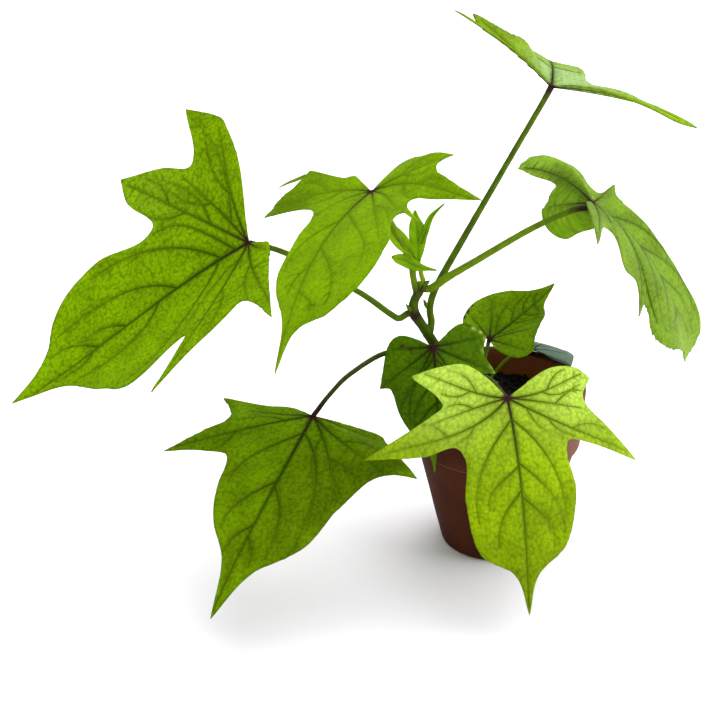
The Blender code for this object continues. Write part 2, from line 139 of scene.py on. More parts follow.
# %% Shader sums
class Wire:
    """The output of a shader node, on which sums can be written."""

    def __init__(self, tree, socket=None):
        self.tree = tree
        self.socket = socket

    def node(self, kind, settings=None, inputs=None, out=0):
        """Add a node, set it up, feed its sockets, and return the wire from one output."""
        made = self.tree.nodes.new("ShaderNode" + kind)
        for name, value in (settings or {}).items():
            setattr(made, name, value)
        for name, value in (inputs or {}).items():
            if isinstance(value, Wire):
                self.tree.links.new(value.socket, made.inputs[name])
            else:
                made.inputs[name].default_value = value
        return Wire(self.tree, made.outputs[out])

    def math(self, operation, *values):
        return self.node("Math", {"operation": operation}, dict(enumerate(values)))

    def __add__(self, other):
        return self.math("ADD", self, other)

    def __sub__(self, other):
        return self.math("SUBTRACT", self, other)

    def __rsub__(self, other):
        return self.math("SUBTRACT", other, self)

    def __mul__(self, other):
        return self.math("MULTIPLY", self, other)

    __radd__ = __add__
    __rmul__ = __mul__

    def ramp(self, low, high):
        """0 below low, 1 above high, eased between them (low may be above high)."""
        return self.node("MapRange", {"interpolation_type": "SMOOTHSTEP"},
                         {"Value": self, "From Min": low, "From Max": high})

    def noise(self, scale, detail=3.0, roughness=0.55):
        """Cloudy pattern, 0 to 1, on this wire's coordinates."""
        return self.node("TexNoise", None, {"Vector": self, "Scale": scale, "Detail": detail,
                                            "Roughness": roughness})

    def cracks(self, scale):
        """Distance to the nearest border of irregular cells of the plane."""
        return self.node("TexVoronoi", {"feature": "DISTANCE_TO_EDGE",
                                        "voronoi_dimensions": "2D"},
                         {"Vector": self, "Scale": scale})

    def blend(self, low, high):
        """A colour between two colours, by this wire's value."""
        return self.node("Mix", {"data_type": "RGBA"},
                         {0: self, 6: rgba(low), 7: rgba(high)}, out=2)

    def times(self, value):
        """This colour or vector, scaled by a value."""
        return self.node("VectorMath", {"operation": "SCALE"}, {0: self, "Scale": value})

    def plus(self, other):
        """This vector with another added to it."""
        return self.node("VectorMath", {"operation": "ADD"}, {0: self, 1: other})

    def cells(self, scale, soft=0.3):
        """Distance from the middle of irregular soft cells of the plane, 0 to about 1."""
        return self.node("TexVoronoi", {"feature": "SMOOTH_F1", "voronoi_dimensions": "2D"},
                         {"Vector": self, "Scale": scale, "Smoothness": soft})

    def stretched(self, scale):
        """This wire's coordinates, scaled along each axis."""
        return self.node("Mapping", None, {"Vector": self, "Scale": scale})

    def kept(self, *titles):
        """Wires from the values that were kept on a piece's points, by their titles."""
        return [self.node("Attribute", {"attribute_name": title}, out="Fac")
                for title in titles]


def rgba(colour):
    return colour if isinstance(colour, Wire) else (*colour, 1.0)


def new_finish(name):
    """A material with its main shader, a wire to start from, and the object's coordinates."""
    mat = bpy.data.materials.new(name)
    mat.use_nodes = True
    start = Wire(mat.node_tree)
    return mat, mat.node_tree.nodes["Principled BSDF"], start, start.node("TexCoord", out="Object")


def feed(shader, **inputs):
    """Link or set a shader's sockets; an underscore stands for a space."""
    for name, value in inputs.items():
        socket = shader.inputs[name.replace("_", " ")]
        if isinstance(value, Wire):
            value.tree.links.new(value.socket, socket)
        else:
            socket.default_value = value


def bump(height, strength, depth):
    """Turn a height pattern into a normal; depth is in metres."""
    return height.node("Bump", None, {"Height": height, "Strength": strength, "Distance": depth})


def shine_through(shader, start, share, colour):
    """Let a share of the surface pass light on, as a thin leaf does."""
    glowing = start.node("BsdfTranslucent", None, {"Color": (*colour, 1)})
    mixed = start.node("MixShader", None,
                       {0: share, 1: Wire(start.tree, shader.outputs[0]), 2: glowing})
    start.tree.links.new(mixed.socket, start.tree.nodes["Material Output"].inputs["Surface"])


print("shader sums ready")

# %% [markdown]
# The pot is fired clay, unglazed and damp: a red-brown body, blotched where water has
# soaked through, with fine turning lines round it. Its right flank is painted paler: a
# painted highlight where the light falls. A thin pale line along the collar's lower edge
# is a painted highlight too, and the wall inside, over the soil, is painted brighter and
# redder, as painted light. Colour and relief both read the object's own coordinates,
# stretched round the axis for the turning lines. The soil is nearly black, and its
# grit pale.

# %% Clay finish
def clay_finish():
    mat, shader, start, place = new_finish("clay")
    blotch = place.noise(55.0, 5.0)
    speck = place.noise(900.0, 2.0)
    lines = place.stretched((30.0, 30.0, 1600.0)).noise(1.0, 2.0)
    # The first kept value is a painted highlight along the collar's foot; the second marks the
    # inside wall, which is painted brighter as painted light.
    collar_highlight, lit_inner_wall = start.kept("collar_highlight", "lit_inner_wall")
    damp = blotch.ramp(0.30, 0.72).blend((0.042, 0.0092, 0.003), (0.068, 0.017, 0.006))
    # A painted highlight: the pot's right flank, past x of about 15 mm, is painted paler where the
    # light falls on it.
    lit_flank = blotch.ramp(0.30, 0.72).blend((0.13, 0.050, 0.036), (0.19, 0.082, 0.060))
    side = place.node("SeparateXYZ", None, {"Vector": place}, out=0)
    outer = (side + blotch * 0.008).ramp(0.015, 0.027).blend(damp, lit_flank)
    # The inside wall is painted brighter and redder, standing in for light that reaches it.
    walled = lit_inner_wall.blend(outer, (0.24, 0.070, 0.022))
    # The painted highlight along the collar's foot, broken into patches.
    colour = (collar_highlight * blotch.ramp(0.35, 0.60) * 0.8).blend(walled, (0.22, 0.095, 0.060))
    grain = (speck.ramp(0.55, 0.75) * 0.25).blend(colour, (0.030, 0.012, 0.008))
    feed(shader, Base_Color=grain, Roughness=0.62 + blotch * 0.25,
         Normal=bump(lines * 0.6 + speck * 0.5, 0.5, 0.0002), Specular_IOR_Level=0.07)
    return mat


def soil_finish():
    mat, shader, _, place = new_finish("potting_soil")
    crumb = place.noise(700.0, 6.0, 0.7)
    colour = crumb.ramp(0.35, 0.75).blend((0.002, 0.0015, 0.001), (0.020, 0.013, 0.008))
    feed(shader, Base_Color=colour, Roughness=0.9 - crumb * 0.3,
         Normal=bump(crumb, 0.8, 0.0005), Specular_IOR_Level=0.2)
    return mat


def grit_finish():
    mat, shader, _, place = new_finish("pale_grit")
    speck = place.noise(1500.0, 3.0)
    feed(shader, Base_Color=speck.blend((0.30, 0.26, 0.20), (0.62, 0.58, 0.50)),
         Roughness=0.85, Normal=bump(speck, 0.4, 0.0002))
    return mat


clay = clay_finish()
potting_soil = soil_finish()
pale_grit = grit_finish()
print("finishes:", clay.name, potting_soil.name, pale_grit.name)

# %% [markdown]
# A turned pot is one profile carried round an axis. Here a disc is drawn at the foot and
# its face is extruded up the outside, over the rim and down the inside, and scaled to the
# next radius each time, as a potter's ribs would leave it. The last face is the floor.

# %% The pot
POT_HEIGHT = 55.0
BASE_RADIUS = 15.4
HEEL_RADIUS = 16.6
BODY_TOP_RADIUS = 25.3
COLLAR_FOOT = 36.3
COLLAR_RADIUS = 26.4
RIM_RADIUS = 27.3
MOUTH_RADIUS = 23.6
WALL = 3.2
FLOOR = 4.5
SOIL_TOP = 46.0
SOIL_BANK = 1.6                        # how much higher the soil lies at the back
SOIL_RINGS = 36                        # rings of points on the soil's surface
COLLAR_HIGHLIGHT_LINE, COLLAR_HIGHLIGHT_WIDTH = 0.3, 0.35      # over the collar's foot: a painted highlight, a thin pale line
LIT_WALL_DEPTH = 12                       # how far under the soil's top the inside wall is painted brighter, as painted light
ROUND_SIDES = 128


def select_none():
    if bpy.context.object and bpy.context.object.mode != "OBJECT":
        bpy.ops.object.mode_set(mode="OBJECT")
    bpy.ops.object.select_all(action="DESELECT")


def only(piece):
    """Make a piece the one selected, active object."""
    select_none()
    piece.select_set(True)
    bpy.context.view_layer.objects.active = piece
    return piece


def join_all(pieces):
    """Join pieces into the first of them."""
    select_none()
    for piece in pieces:
        piece.select_set(True)
    bpy.context.view_layer.objects.active = pieces[0]
    bpy.ops.object.join()
    return pieces[0]


def keep_values(piece, title, values):
    """Keep a value for every point of a piece, which its finish reads by the title."""
    kept = piece.data.attributes.new(title, "FLOAT", "POINT")
    kept.data.foreach_set("value", np.asarray(values).astype(np.float32))


def keep_as(piece, name, slot, *nodes):
    """Name a finished piece, let it ride with the plant, and put it in its solids' place."""
    piece.name = name
    piece.data.name = name
    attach(piece, "root")
    if nodes:
        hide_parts(*nodes)
    print(name, "faces:", len(piece.data.polygons))


def smooth(piece, angle=40.0):
    only(piece)
    bpy.ops.object.shade_smooth_by_angle(angle=math.radians(angle))


def lift_profile(profile):
    """Extrude a disc's face through a profile of (radius, height) corners, in millimetres."""
    select_none()
    radius, height = profile[0]
    bpy.ops.mesh.primitive_circle_add(vertices=ROUND_SIDES, radius=radius * MM, fill_type="NGON",
                                      location=(0, 0, height * MM))
    piece = bpy.context.active_object
    bpy.ops.object.transform_apply(location=True)
    bpy.ops.object.mode_set(mode="EDIT")
    bpy.ops.mesh.select_all(action="SELECT")
    for wide, tall in profile[1:]:
        bpy.ops.mesh.extrude_region_move(
            TRANSFORM_OT_translate={"value": (0, 0, (tall - height) * MM)})
        bpy.ops.transform.resize(value=(wide / radius, wide / radius, 1.0))
        radius, height = wide, tall
    bpy.ops.mesh.select_all(action="SELECT")
    bpy.ops.mesh.normals_make_consistent(inside=False)
    bpy.ops.object.mode_set(mode="OBJECT")
    return piece


def inner_radius(height):
    """The cavity: a wall inside the body, then a steeper rise to the mouth."""
    shoulder = BODY_TOP_RADIUS - WALL
    if height > COLLAR_FOOT:
        rise = (height - COLLAR_FOOT) / (POT_HEIGHT - COLLAR_FOOT)
        return shoulder + (MOUTH_RADIUS - shoulder) * rise
    return shoulder - (BODY_TOP_RADIUS - HEEL_RADIUS) * (COLLAR_FOOT - height) / COLLAR_FOOT


def rounded(start, corner, end, size, steps=4):
    """Points round a corner of a profile, from the side of start to the side of end."""
    start, corner, end = Vector(start), Vector(corner), Vector(end)
    first = corner + (start - corner).normalized() * size
    last = corner + (end - corner).normalized() * size
    return [tuple(first.lerp(corner, t).lerp(corner.lerp(last, t), t))
            for t in (i / steps for i in range(steps + 1))]


foot = (BASE_RADIUS, 0.0)
heel = (HEEL_RADIUS, HEEL_RADIUS - BASE_RADIUS)
shoulder = (BODY_TOP_RADIUS, COLLAR_FOOT)
ledge = (COLLAR_RADIUS, COLLAR_FOOT + 0.4)
rim_out = (RIM_RADIUS, POT_HEIGHT)
rim_in = (MOUTH_RADIUS, POT_HEIGHT)
inside = (inner_radius(COLLAR_FOOT), COLLAR_FOOT)
corner_foot = (inner_radius(FLOOR), FLOOR)
pot_profile = [(BASE_RADIUS - 2.0, 0.0), (BASE_RADIUS - 0.4, 0.0)]
pot_profile += rounded((BASE_RADIUS - 2.0, 0.0), (BASE_RADIUS + 0.8, 0.0), heel, 1.2)
pot_profile += [(HEEL_RADIUS + 2.2, 10.0), (HEEL_RADIUS + 4.6, 19.8), (HEEL_RADIUS + 6.9, 29.0)]
pot_profile += [(BODY_TOP_RADIUS - 0.05, COLLAR_FOOT - 0.5), shoulder]
pot_profile += rounded(shoulder, ledge, rim_out, 0.45)
pot_profile += [(COLLAR_RADIUS + 0.45, 45.5)]
pot_profile += rounded(ledge, rim_out, rim_in, 0.9)
pot_profile += rounded(rim_out, rim_in, inside, 0.9)
pot_profile += [inside, (inner_radius(20.0), 20.0), corner_foot]

pot = lift_profile(pot_profile)
for vert in pot.data.vertices:
    out = math.hypot(vert.co.x, vert.co.y)
    if vert.co.z > 0.002 and out > 0.012:
        wave = noise.noise(Vector((vert.co.x, vert.co.y, vert.co.z * 3)) * 70) * 0.00016
        vert.co.x += vert.co.x / out * wave
        vert.co.y += vert.co.y / out * wave
spots = [(math.hypot(v.co.x, v.co.y) / MM, v.co.z / MM) for v in pot.data.vertices]
# A painted highlight along the collar's foot, kept as a value on the points.
keep_values(pot, "collar_highlight", [math.exp(-((z - COLLAR_FOOT - COLLAR_HIGHLIGHT_LINE) / COLLAR_HIGHLIGHT_WIDTH) ** 2)
                          * (out > BODY_TOP_RADIUS) for out, z in spots])
# The inside wall over the soil, painted brighter and redder as painted light.
keep_values(pot, "lit_inner_wall", [z > SOIL_TOP - LIT_WALL_DEPTH and out < MOUTH_RADIUS + 0.1
                           for out, z in spots])
smooth(pot, 35.0)
pot.data.materials.append(clay)
keep_as(pot, "clay_pot", "terracotta", "pot")

# %% [markdown]
# Potting soil is a lumpy surface with crumbs on it. The filling is a disc lifted the same
# way, whose top is stepped inward ring by ring so that it has points to raise and sink. It
# lies a little higher towards the back. Over it lie some hundreds of crumbs, each a small
# uneven ball, and a few pieces of pale grit. They are laid out by a seeded random draw and
# joined into two pieces.

# %% The soil
def soil_level(x, y):
    """Height of the soil's surface, in millimetres, at a place in millimetres."""
    lump = noise.noise(Vector((x * 0.30, y * 0.30, 2.0))) * 0.7
    crumb = noise.noise(Vector((x * 1.1, y * 1.1, 7.0))) * 0.45
    bank = SOIL_BANK * min(1.0, max(0.0, (y + 4.0) / 20.0))
    return SOIL_TOP - 0.1 + lump + crumb + bank


soil_edge = inner_radius(SOIL_TOP) - 0.05
soil_profile = [(inner_radius(FLOOR) - 0.3, FLOOR + 0.3), (inner_radius(30.0) - 0.3, 30.0),
                (inner_radius(COLLAR_FOOT) - 0.2, COLLAR_FOOT), (soil_edge, SOIL_TOP - 0.8)]
soil_profile += [(soil_edge * (1 - i / SOIL_RINGS), SOIL_TOP) for i in range(1, SOIL_RINGS)]
soil = lift_profile(soil_profile)
for vert in soil.data.vertices:
    if vert.co.z > (SOIL_TOP - 0.5) * MM:
        vert.co.z = soil_level(vert.co.x / MM, vert.co.y / MM) * MM
smooth(soil, 60.0)
soil.data.materials.append(potting_soil)
keep_as(soil, "soil_filling", "soil", "soil")


def ball_shape(level):
    select_none()
    bpy.ops.mesh.primitive_ico_sphere_add(subdivisions=level, radius=1.0)
    ball = bpy.context.active_object
    points = np.array([v.co for v in ball.data.vertices])
    faces = np.array([p.vertices for p in ball.data.polygons])
    bpy.data.objects.remove(ball, do_unlink=True)
    return points, faces


def joined_mesh(name, point_sets, face_sets):
    """One mesh from many small shapes, whose sizes are in millimetres."""
    counts = np.cumsum([0] + [len(p) for p in point_sets[:-1]])
    faces = [tuple(int(i) + int(c) for i in face)
             for fs, c in zip(face_sets, counts) for face in fs]
    mesh = bpy.data.meshes.new(name)
    mesh.from_pydata((np.concatenate(point_sets) * MM).tolist(), [], faces)
    mesh.validate()
    piece = bpy.data.objects.new(name, mesh)
    bpy.context.scene.collection.objects.link(piece)
    return piece


def scattered(name, count, low, high, seed, finish):
    """Uneven little balls, half sunk in the soil, joined into one piece."""
    draw = np.random.default_rng(seed)
    shape, faces = ball_shape(2)
    clumps = []
    for _ in range(count):
        out = (soil_edge - 0.9) * math.sqrt(draw.random())
        turn = draw.random() * 2 * math.pi
        x, y = out * math.cos(turn), out * math.sin(turn)
        size = draw.uniform(low, high)
        uneven = 1 + 0.3 * np.sin(shape @ draw.normal(0, 2.2, 3) + draw.random() * 6)
        squash = draw.uniform(0.6, 1.15, 3)
        place = np.array((x, y, soil_level(x, y) + size * 0.25))
        clumps.append(shape * uneven[:, None] * squash * size + place)
    piece = joined_mesh(name, clumps, [faces] * count)
    smooth(piece, 60.0)
    piece.data.materials.append(finish)
    keep_as(piece, name, "soil")


scattered("soil_crumbs", 520, 0.25, 0.85, 11, potting_soil)
scattered("soil_grit", 46, 0.25, 0.60, 5, pale_grit)

# %% [markdown]
# Every leaf is written down once: where its blade sits on its stalk, which way its midrib
# sets off (heading and climb in degrees, then the lean about the midrib), and its length.
# The fold says how far the rays from the seat rise and how far they curl down, at a few
# angles from the midrib. The margin gives the angle and reach of each tip, bay and bulge,
# and marks the tips. Teeth are stretches of it that are more uneven, with how much at the
# end. A seat is a place that the stalk passes just before it reaches the blade.

# %% The nine leaves
TIP = "tip"                            # marks a station where the margin turns a corner
LEAVES = {
    "left": dict(
        at=(-76.3, 2.0, 101.4), heading=-180, climb=-40, lean=28, length=92, look="leaf",
        teeth=((-120, -109, 1.0), (84, 131, 1.0)),
        fold=((130, 19, 7), (55, 16, -5), (0, 0, -10), (-60, 15, 7), (-120, 26, 25)),
        margin=((131, 12), (112, 18), (103, 26), (96, 47, TIP), (86, 31), (73, 27.5),
                (48, 58.5, TIP), (46, 42), (43, 36.5), (30, 55), (16, 62.5), (4, 73),
                (-1, 92.5, TIP), (-6, 80), (-19, 71), (-30, 57), (-43, 36.5), (-52, 49),
                (-59, 56, TIP), (-71, 43.5), (-84, 35.5), (-94, 51.5, TIP), (-108, 42.0),
                (-111, 38.5), (-118, 26), (-120, 12))),
    "upper": dict(
        at=(-39.6, -12.0, 123.0), heading=-124, climb=-15, lean=-23, length=67, look="leaf",
        rough=0.30, teeth=((-100, -62, 0.6),),
        fold=((130, 11, 12), (70, -3, 17), (0, 0, 35), (-70, 9, 16), (-125, 15, 3)),
        margin=((154, 8), (150, 14), (128, 19.5), (108, 28.5, TIP), (104, 23), (92, 28),
                (81, 44, TIP), (77, 28), (70, 20), (59, 32.5, TIP), (54, 23), (42, 33),
                (28, 44.5), (14, 50), (2, 53), (-2, 66, TIP), (-5, 52), (-20, 40), (-33, 26),
                (-60, 18.5), (-75, 37, TIP), (-81, 36), (-88, 35.2), (-95, 31.6),
                (-108, 31.5, TIP), (-113, 15), (-124, 12))),
    "low": dict(
        at=(-57.1, -20.0, 54.3), heading=-115, climb=-17, lean=-4, length=71, look="dark_leaf",
        teeth=((-103, -62, 0.8),),
        fold=((130, -65, 7), (95, -16, 12), (65, 0, 13), (0, 0, 23), (-65, -5, 5),
              (-120, -18, -26)),
        margin=((128, 5), (116, 10), (104, 20), (92, 23.5), (70, 42.3, TIP), (59, 34.5),
                (36, 38.3), (20, 49.5), (5, 57), (-2, 72, TIP), (-6, 55), (-18, 45), (-31, 35.5),
                (-47, 28.5), (-59, 35), (-66, 48, TIP), (-74, 37), (-84, 29), (-101, 38, TIP),
                (-104, 22), (-113, 14), (-116, 7))),
    "front": dict(
        at=(0.1, -29.0, 65.1), heading=-80, climb=-49, lean=12, length=64, look="bright_leaf",
        fold=((122, 3, 4), (68, 2, 13), (0, 0, 13), (-70, -3, 15), (-130, 15, 3)),
        margin=((122, 10), (119, 18), (110, 25), (101, 28.5, TIP), (88, 25), (74, 33),
                (64, 45.5, TIP), (60, 28), (51, 22.5), (33, 34.5), (18, 46), (5, 52.5),
                (1, 63.5, TIP), (-3, 52), (-16, 47), (-28, 34.5), (-47, 22), (-60, 32),
                (-71, 47.5, TIP), (-80, 24), (-87, 20.5), (-102, 31.5, TIP), (-112, 24),
                (-124, 17), (-130, 8))),
    "rim": dict(
        at=(-21.1, -12.0, 73.5), heading=-83, climb=-43, lean=-1, length=40, look="dark_leaf",
        fold=((130, -1, 16), (68, -5, 35), (0, 0, 54), (-60, -20, 43), (-125, -14, 24)),
        margin=((131, 8), (127, 12), (116, 14.5), (102, 17.5, TIP), (84, 16), (67, 21, TIP),
                (58, 17), (36, 17), (12, 19.5), (-1, 32), (-2, 40, TIP), (-5, 34), (-21, 26.3),
                (-35, 22), (-53, 18.5), (-62, 21, TIP), (-73, 18), (-104, 14), (-120, 11.5),
                (-126, 6))),
    "back": dict(
        at=(-2.7, 8.0, 66.2), heading=31, climb=17, lean=-7, length=29, look="dark_leaf",
        fold=((130, 22, 0), (50, 13, 6), (0, 0, -19), (-45, 18, 0), (-120, 9, 9)),
        margin=((112, 7), (106, 10.5), (73, 15), (48, 18.5), (16, 23), (4, 29, TIP), (-5, 21.3),
                (-20, 19.2), (-45, 17.3), (-62, 17.2), (-78, 19), (-92, 16), (-106, 6))),
    "top": dict(
        at=(12.3, 5.0, 148.9), heading=81, climb=7, lean=-24, length=55, look="leaf",
        teeth=((-45, 72, 1.3),),
        fold=((115, 34, 51), (75, 16, 9), (40, 13, 16), (20, 3, 40), (0, 1, 40), (-30, 3, 22),
              (-75, 14, 10), (-115, 39, 63)),
        margin=((112, 8), (108, 14), (101, 23), (93, 36.3, TIP), (87, 28.5), (76, 31, TIP),
                (66, 26.5), (48, 21), (36, 20), (22, 33), (5, 44), (0, 55, TIP), (-6, 44),
                (-18, 31), (-34, 19), (-50, 17), (-65, 22), (-84, 32.3, TIP), (-89, 30.5),
                (-95, 44, TIP), (-108, 34), (-115, 24), (-116, 10))),
    "right": dict(
        at=(27.3, 12.0, 110.4), heading=-14, climb=-31, lean=15, length=65, look="leaf",
        seat=(25.75, 9.95, 109.7),
        teeth=((-32, 60, 0.9), (100, 150, 0.7)),
        fold=((172, -138, 21), (150, -35, 40), (122, 22, 75), (64, 15, -25), (0, 0, 56),
              (-42, 8, 112), (-92, 2, 27)),
        margin=((176, 6), (164, 9), (160, 14.5), (154, 16.5), (140, 15.8), (135, 16), (133, 28),
                (131, 37, TIP), (126, 37.5), (114, 29), (97, 9), (77, 21.2, TIP), (58, 15),
                (34, 24), (21, 40), (17, 58), (4, 60, TIP), (-4, 54.5), (-15, 51.7), (-24, 46.8),
                (-30, 38), (-35, 41.7, TIP), (-40, 32), (-54, 29.5), (-67, 18.3), (-84, 39, TIP),
                (-90, 26), (-106, 9))),
    "far": dict(
        at=(12.0, 17.0, 58.4), heading=57, climb=3, lean=0, length=24, look="dark_leaf",
        fold=((90, 0, 25), (0, 0, 75), (-90, 0, 30)),
        margin=((97, 7), (84, 12), (60, 13), (25, 16), (0, 24, TIP), (-25, 16.5), (-60, 13.5),
                (-88, 14, TIP), (-97, 7))),
}

# %% [markdown]
# The stem and the stalks are green and a little glossy, and turn purple-brown where they
# join. How purple a point is, is worked out when the limb is made and kept on it as an
# attribute, because it depends on how far along its limb the point lies.

# %% Stem finish
def stem_finish():
    mat, shader, start, place = new_finish("green_stem")
    purple, bright = start.kept("purple", "bright")
    streak = place.stretched((2600.0, 2600.0, 260.0)).noise(1.0, 3.0)
    mottle = place.noise(260.0, 3.0)
    green = mottle.ramp(0.3, 0.75).blend((0.036, 0.074, 0.001), (0.070, 0.126, 0.002))
    fresh = mottle.ramp(0.3, 0.75).blend((0.16, 0.28, 0.003), (0.24, 0.38, 0.004))
    body = bright.blend(green, fresh)
    stained = (purple + streak * 0.5 - 0.25).ramp(0.15, 0.85)
    colour = stained.blend(body, (0.026, 0.011, 0.008))
    feed(shader, Base_Color=colour, Roughness=0.42 + mottle * 0.2,
         Normal=bump(streak, 0.35, 0.0001), Specular_IOR_Level=0.06)
    return mat


green_stem = stem_finish()
print("finish:", green_stem.name)

# %% [markdown]
# A limb is a curve with a radius at every point. The curve is added by its operator, its
# points are read off a smooth path through the limb's own stations, and its round bevel
# gives the flesh. Turned into a mesh, it gets what no plain tube has: slight ribs and
# lumps, and values that say how purple and how bright a green it is.

# %% Limbs
MAIN_STEM = ((-6.2, -1.0, 46.9, 2.3), (-8.6, -1.2, 50.0, 1.75), (-13.6, -1.6, 58.5, 1.6),
             (-20.3, -2.0, 69.8, 1.55), (-24.4, -2.6, 76.8, 1.5), (-26.7, -3.0, 81.0, 1.65),
             (-26.6, -2.8, 84.6, 1.35), (-25.1, -2.4, 87.8, 1.4), (-24.7, -2.2, 90.4, 1.2))
# A stalk starts beside the stem, or just over the soil, and ends short of its blade: below,
# a foot inside the stem or the soil and the place where the blade sits are added to it.
STALKS = {
    "left": ((-28.9, -3.2, 80.3, 1.0), (-31.2, -3.2, 78.9, 1.0), (-34.0, -3.0, 80.4, 0.95),
             (-43.9, -1.0, 87.0, 0.9), (-64.6, 1.0, 98.2, 0.85)),
    "upper": ((-27.0, -3.5, 90.7, 1.0), (-27.1, -3.1, 92.6, 1.0), (-27.7, -3.4, 96.2, 1.0),
              (-31.6, -5.4, 106.6, 0.95), (-36.6, -9.2, 117.0, 0.8)),
    "low": ((-18.7, -1.7, 61.6, 0.85), (-26.2, -1.0, 65.8, 0.85), (-35.3, -2.6, 66.8, 0.8),
            (-46.0, -11.6, 64.2, 0.75), (-52.0, -16.6, 60.0, 0.7)),
    "front": ((-8.3, -3.2, 54.0, 0.9), (-5.2, -5.4, 59.6, 0.85), (-3.0, -12.0, 62.0, 0.8),
              (-0.8, -22.5, 63.4, 0.75)),
    "rim": ((-19.3, -4.25, 67.6, 0.8), (-20.2, -7.2, 69.8, 0.75)),
    "back": ((-7.65, 0.45, 51.8, 0.7), (-5.2, 3.8, 57.0, 0.65), (-3.4, 7.0, 63.0, 0.6)),
    "top": ((-18.5, -0.7, 72.2, 1.15), (-21.2, 0.0, 76.2, 1.1), (-21.7, 0.5, 80.0, 1.05),
            (-20.7, 1.0, 85.2, 1.05), (-16.7, 1.8, 93.7, 1.05), (1.1, 3.5, 127.7, 0.85),
            (9.6, 4.6, 143.5, 0.85)),
    "right": ((-22.3, -3.2, 88.7, 1.15), (-20.0, -3.7, 90.2, 1.2), (-16.1, -3.6, 93.1, 1.15),
              (-10.1, -2.6, 96.4, 1.05), (8.1, 4.0, 105.0, 0.95), (20.5, 8.3, 109.2, 0.9)),
    "far": ((-2.0, 15.4, 46.9, 0.55), (0.0, 16.2, 50.2, 0.5), (3.4, 16.8, 54.6, 0.5),
            (7.0, 17.0, 57.0, 0.45)),
}

LIMB_STEP = 0.9                        # millimetres between two points of a limb's path
LIMB_ROUNDNESS = 5                     # bevel resolution: 14 sides


def smooth_path(stations, step):
    """Points on a Catmull-Rom curve through (x, y, z, radius) stations."""
    pts = [Vector(p) for p in stations]
    ends = [2 * pts[0] - pts[1]] + pts + [2 * pts[-1] - pts[-2]]
    path = []
    for a, b, c, d in zip(ends, ends[1:], ends[2:], ends[3:]):
        count = max(1, round((c.xyz - b.xyz).length / step))
        for t in (i / count for i in range(count)):
            path.append(0.5 * ((2 * b) + (c - a) * t + (2 * a - 5 * b + 4 * c - d) * t * t
                               + (3 * b - a - 3 * c + d) * t ** 3))
    path.append(pts[-1])
    return path


def limb(name, stations, purple, bright, ribs=0.03):
    """A tapering limb; purple and bright are rows of (share along it, value)."""
    path = smooth_path(stations, LIMB_STEP)
    select_none()
    bpy.ops.curve.primitive_bezier_curve_add(location=(0, 0, 0))
    piece = bpy.context.active_object
    curve = piece.data
    curve.splines.clear()
    spline = curve.splines.new("POLY")
    spline.points.add(len(path) - 1)
    for point, at in zip(spline.points, path):
        point.co = (*(at.xyz * MM), 1.0)
        point.radius = at.w
    curve.dimensions = "3D"
    curve.bevel_depth = MM
    curve.bevel_resolution = LIMB_ROUNDNESS
    curve.use_fill_caps = True
    bpy.ops.object.convert(target="MESH")
    piece = bpy.context.active_object
    points = np.array([v.co for v in piece.data.vertices]) / MM
    line = np.array([p.xyz for p in path])
    near = np.argmin(((points[:, None, :] - line[None]) ** 2).sum(2), axis=1)
    share = near / (len(path) - 1)
    off = points - line[near]
    wobble = np.array([noise.noise(Vector(p) * 0.9) for p in points])
    around = np.arctan2(off[:, 1], off[:, 0])
    off *= (1 + ribs * np.sin(5 * around + share * 4) + 2 * ribs * wobble)[:, None]
    points = line[near] + off
    piece.data.vertices.foreach_set("co", (points * MM).ravel())
    keep_values(piece, "purple", np.interp(share, *zip(*purple)))
    keep_values(piece, "bright", np.interp(share, *zip(*bright)))
    piece.data.materials.clear()
    piece.data.materials.append(green_stem)
    smooth(piece, 50.0)
    piece.name = name
    return piece


def nearest_on(line, point):
    """The point of a path nearest to a place."""
    return min(line, key=lambda p: (p.xyz - Vector(point)).length)


main_line = smooth_path(MAIN_STEM, LIMB_STEP)
root = (MAIN_STEM[0][0] + 0.9, MAIN_STEM[0][1], SOIL_TOP - 1.6, MAIN_STEM[0][3] + 0.3)
MAIN_PURPLE = ((0, 0.7), (0.12, 0.35), (0.30, 0.15), (0.45, 0.20), (0.50, 0.80), (0.545, 0.95),
               (0.58, 0.25), (0.72, 0.22), (0.76, 0.45), (0.79, 1.0), (0.825, 0.45), (0.88, 0.20),
               (0.93, 0.50), (0.97, 0.70), (1, 0.25))
# Two buds and a stipule: (place on the limb, way it points, length, half width).
BUDS = (((-27.6, -4.0, 81.6), (-0.55, -0.3, 1.0), 3.4, 0.62),
        ((-22.6, 0.1, 81.0), (-0.35, -0.3, 1.0), 3.6, 0.60),
        ((-23.9, -3.2, 89.8), (0.75, -0.2, 0.75), 2.6, 0.75))
BUD_SHAPE = ((0, 0.7), (0.3, 1.0), (0.65, 0.75), (1, 0.12))   # share along it, share of width
stem_parts = [limb("main_stem_skin", (root, *MAIN_STEM), MAIN_PURPLE,
                   ((0, 0), (0.9, 0), (1, 0.5)), ribs=0.045)]
for place, way, length, width in BUDS:
    foot, way = Vector(place), Vector(way).normalized() * length
    stations = [(*(foot + way * t), width * w) for t, w in BUD_SHAPE]
    stem_parts.append(limb("bud", stations, ((0, 0.4), (0.3, 0.1), (1, 0.5)),
                           ((0, 0.1), (1, 0.3))))
keep_as(join_all(stem_parts), "main_stem_skin", "stem", "main_stem")

# Where a stalk does not leave the stem at the point nearest to it: the share along the
# stem of its foot. Such a stalk's own first station, which stands aside of it, is left out.
FEET = {"upper": 0.915, "top": 0.60}
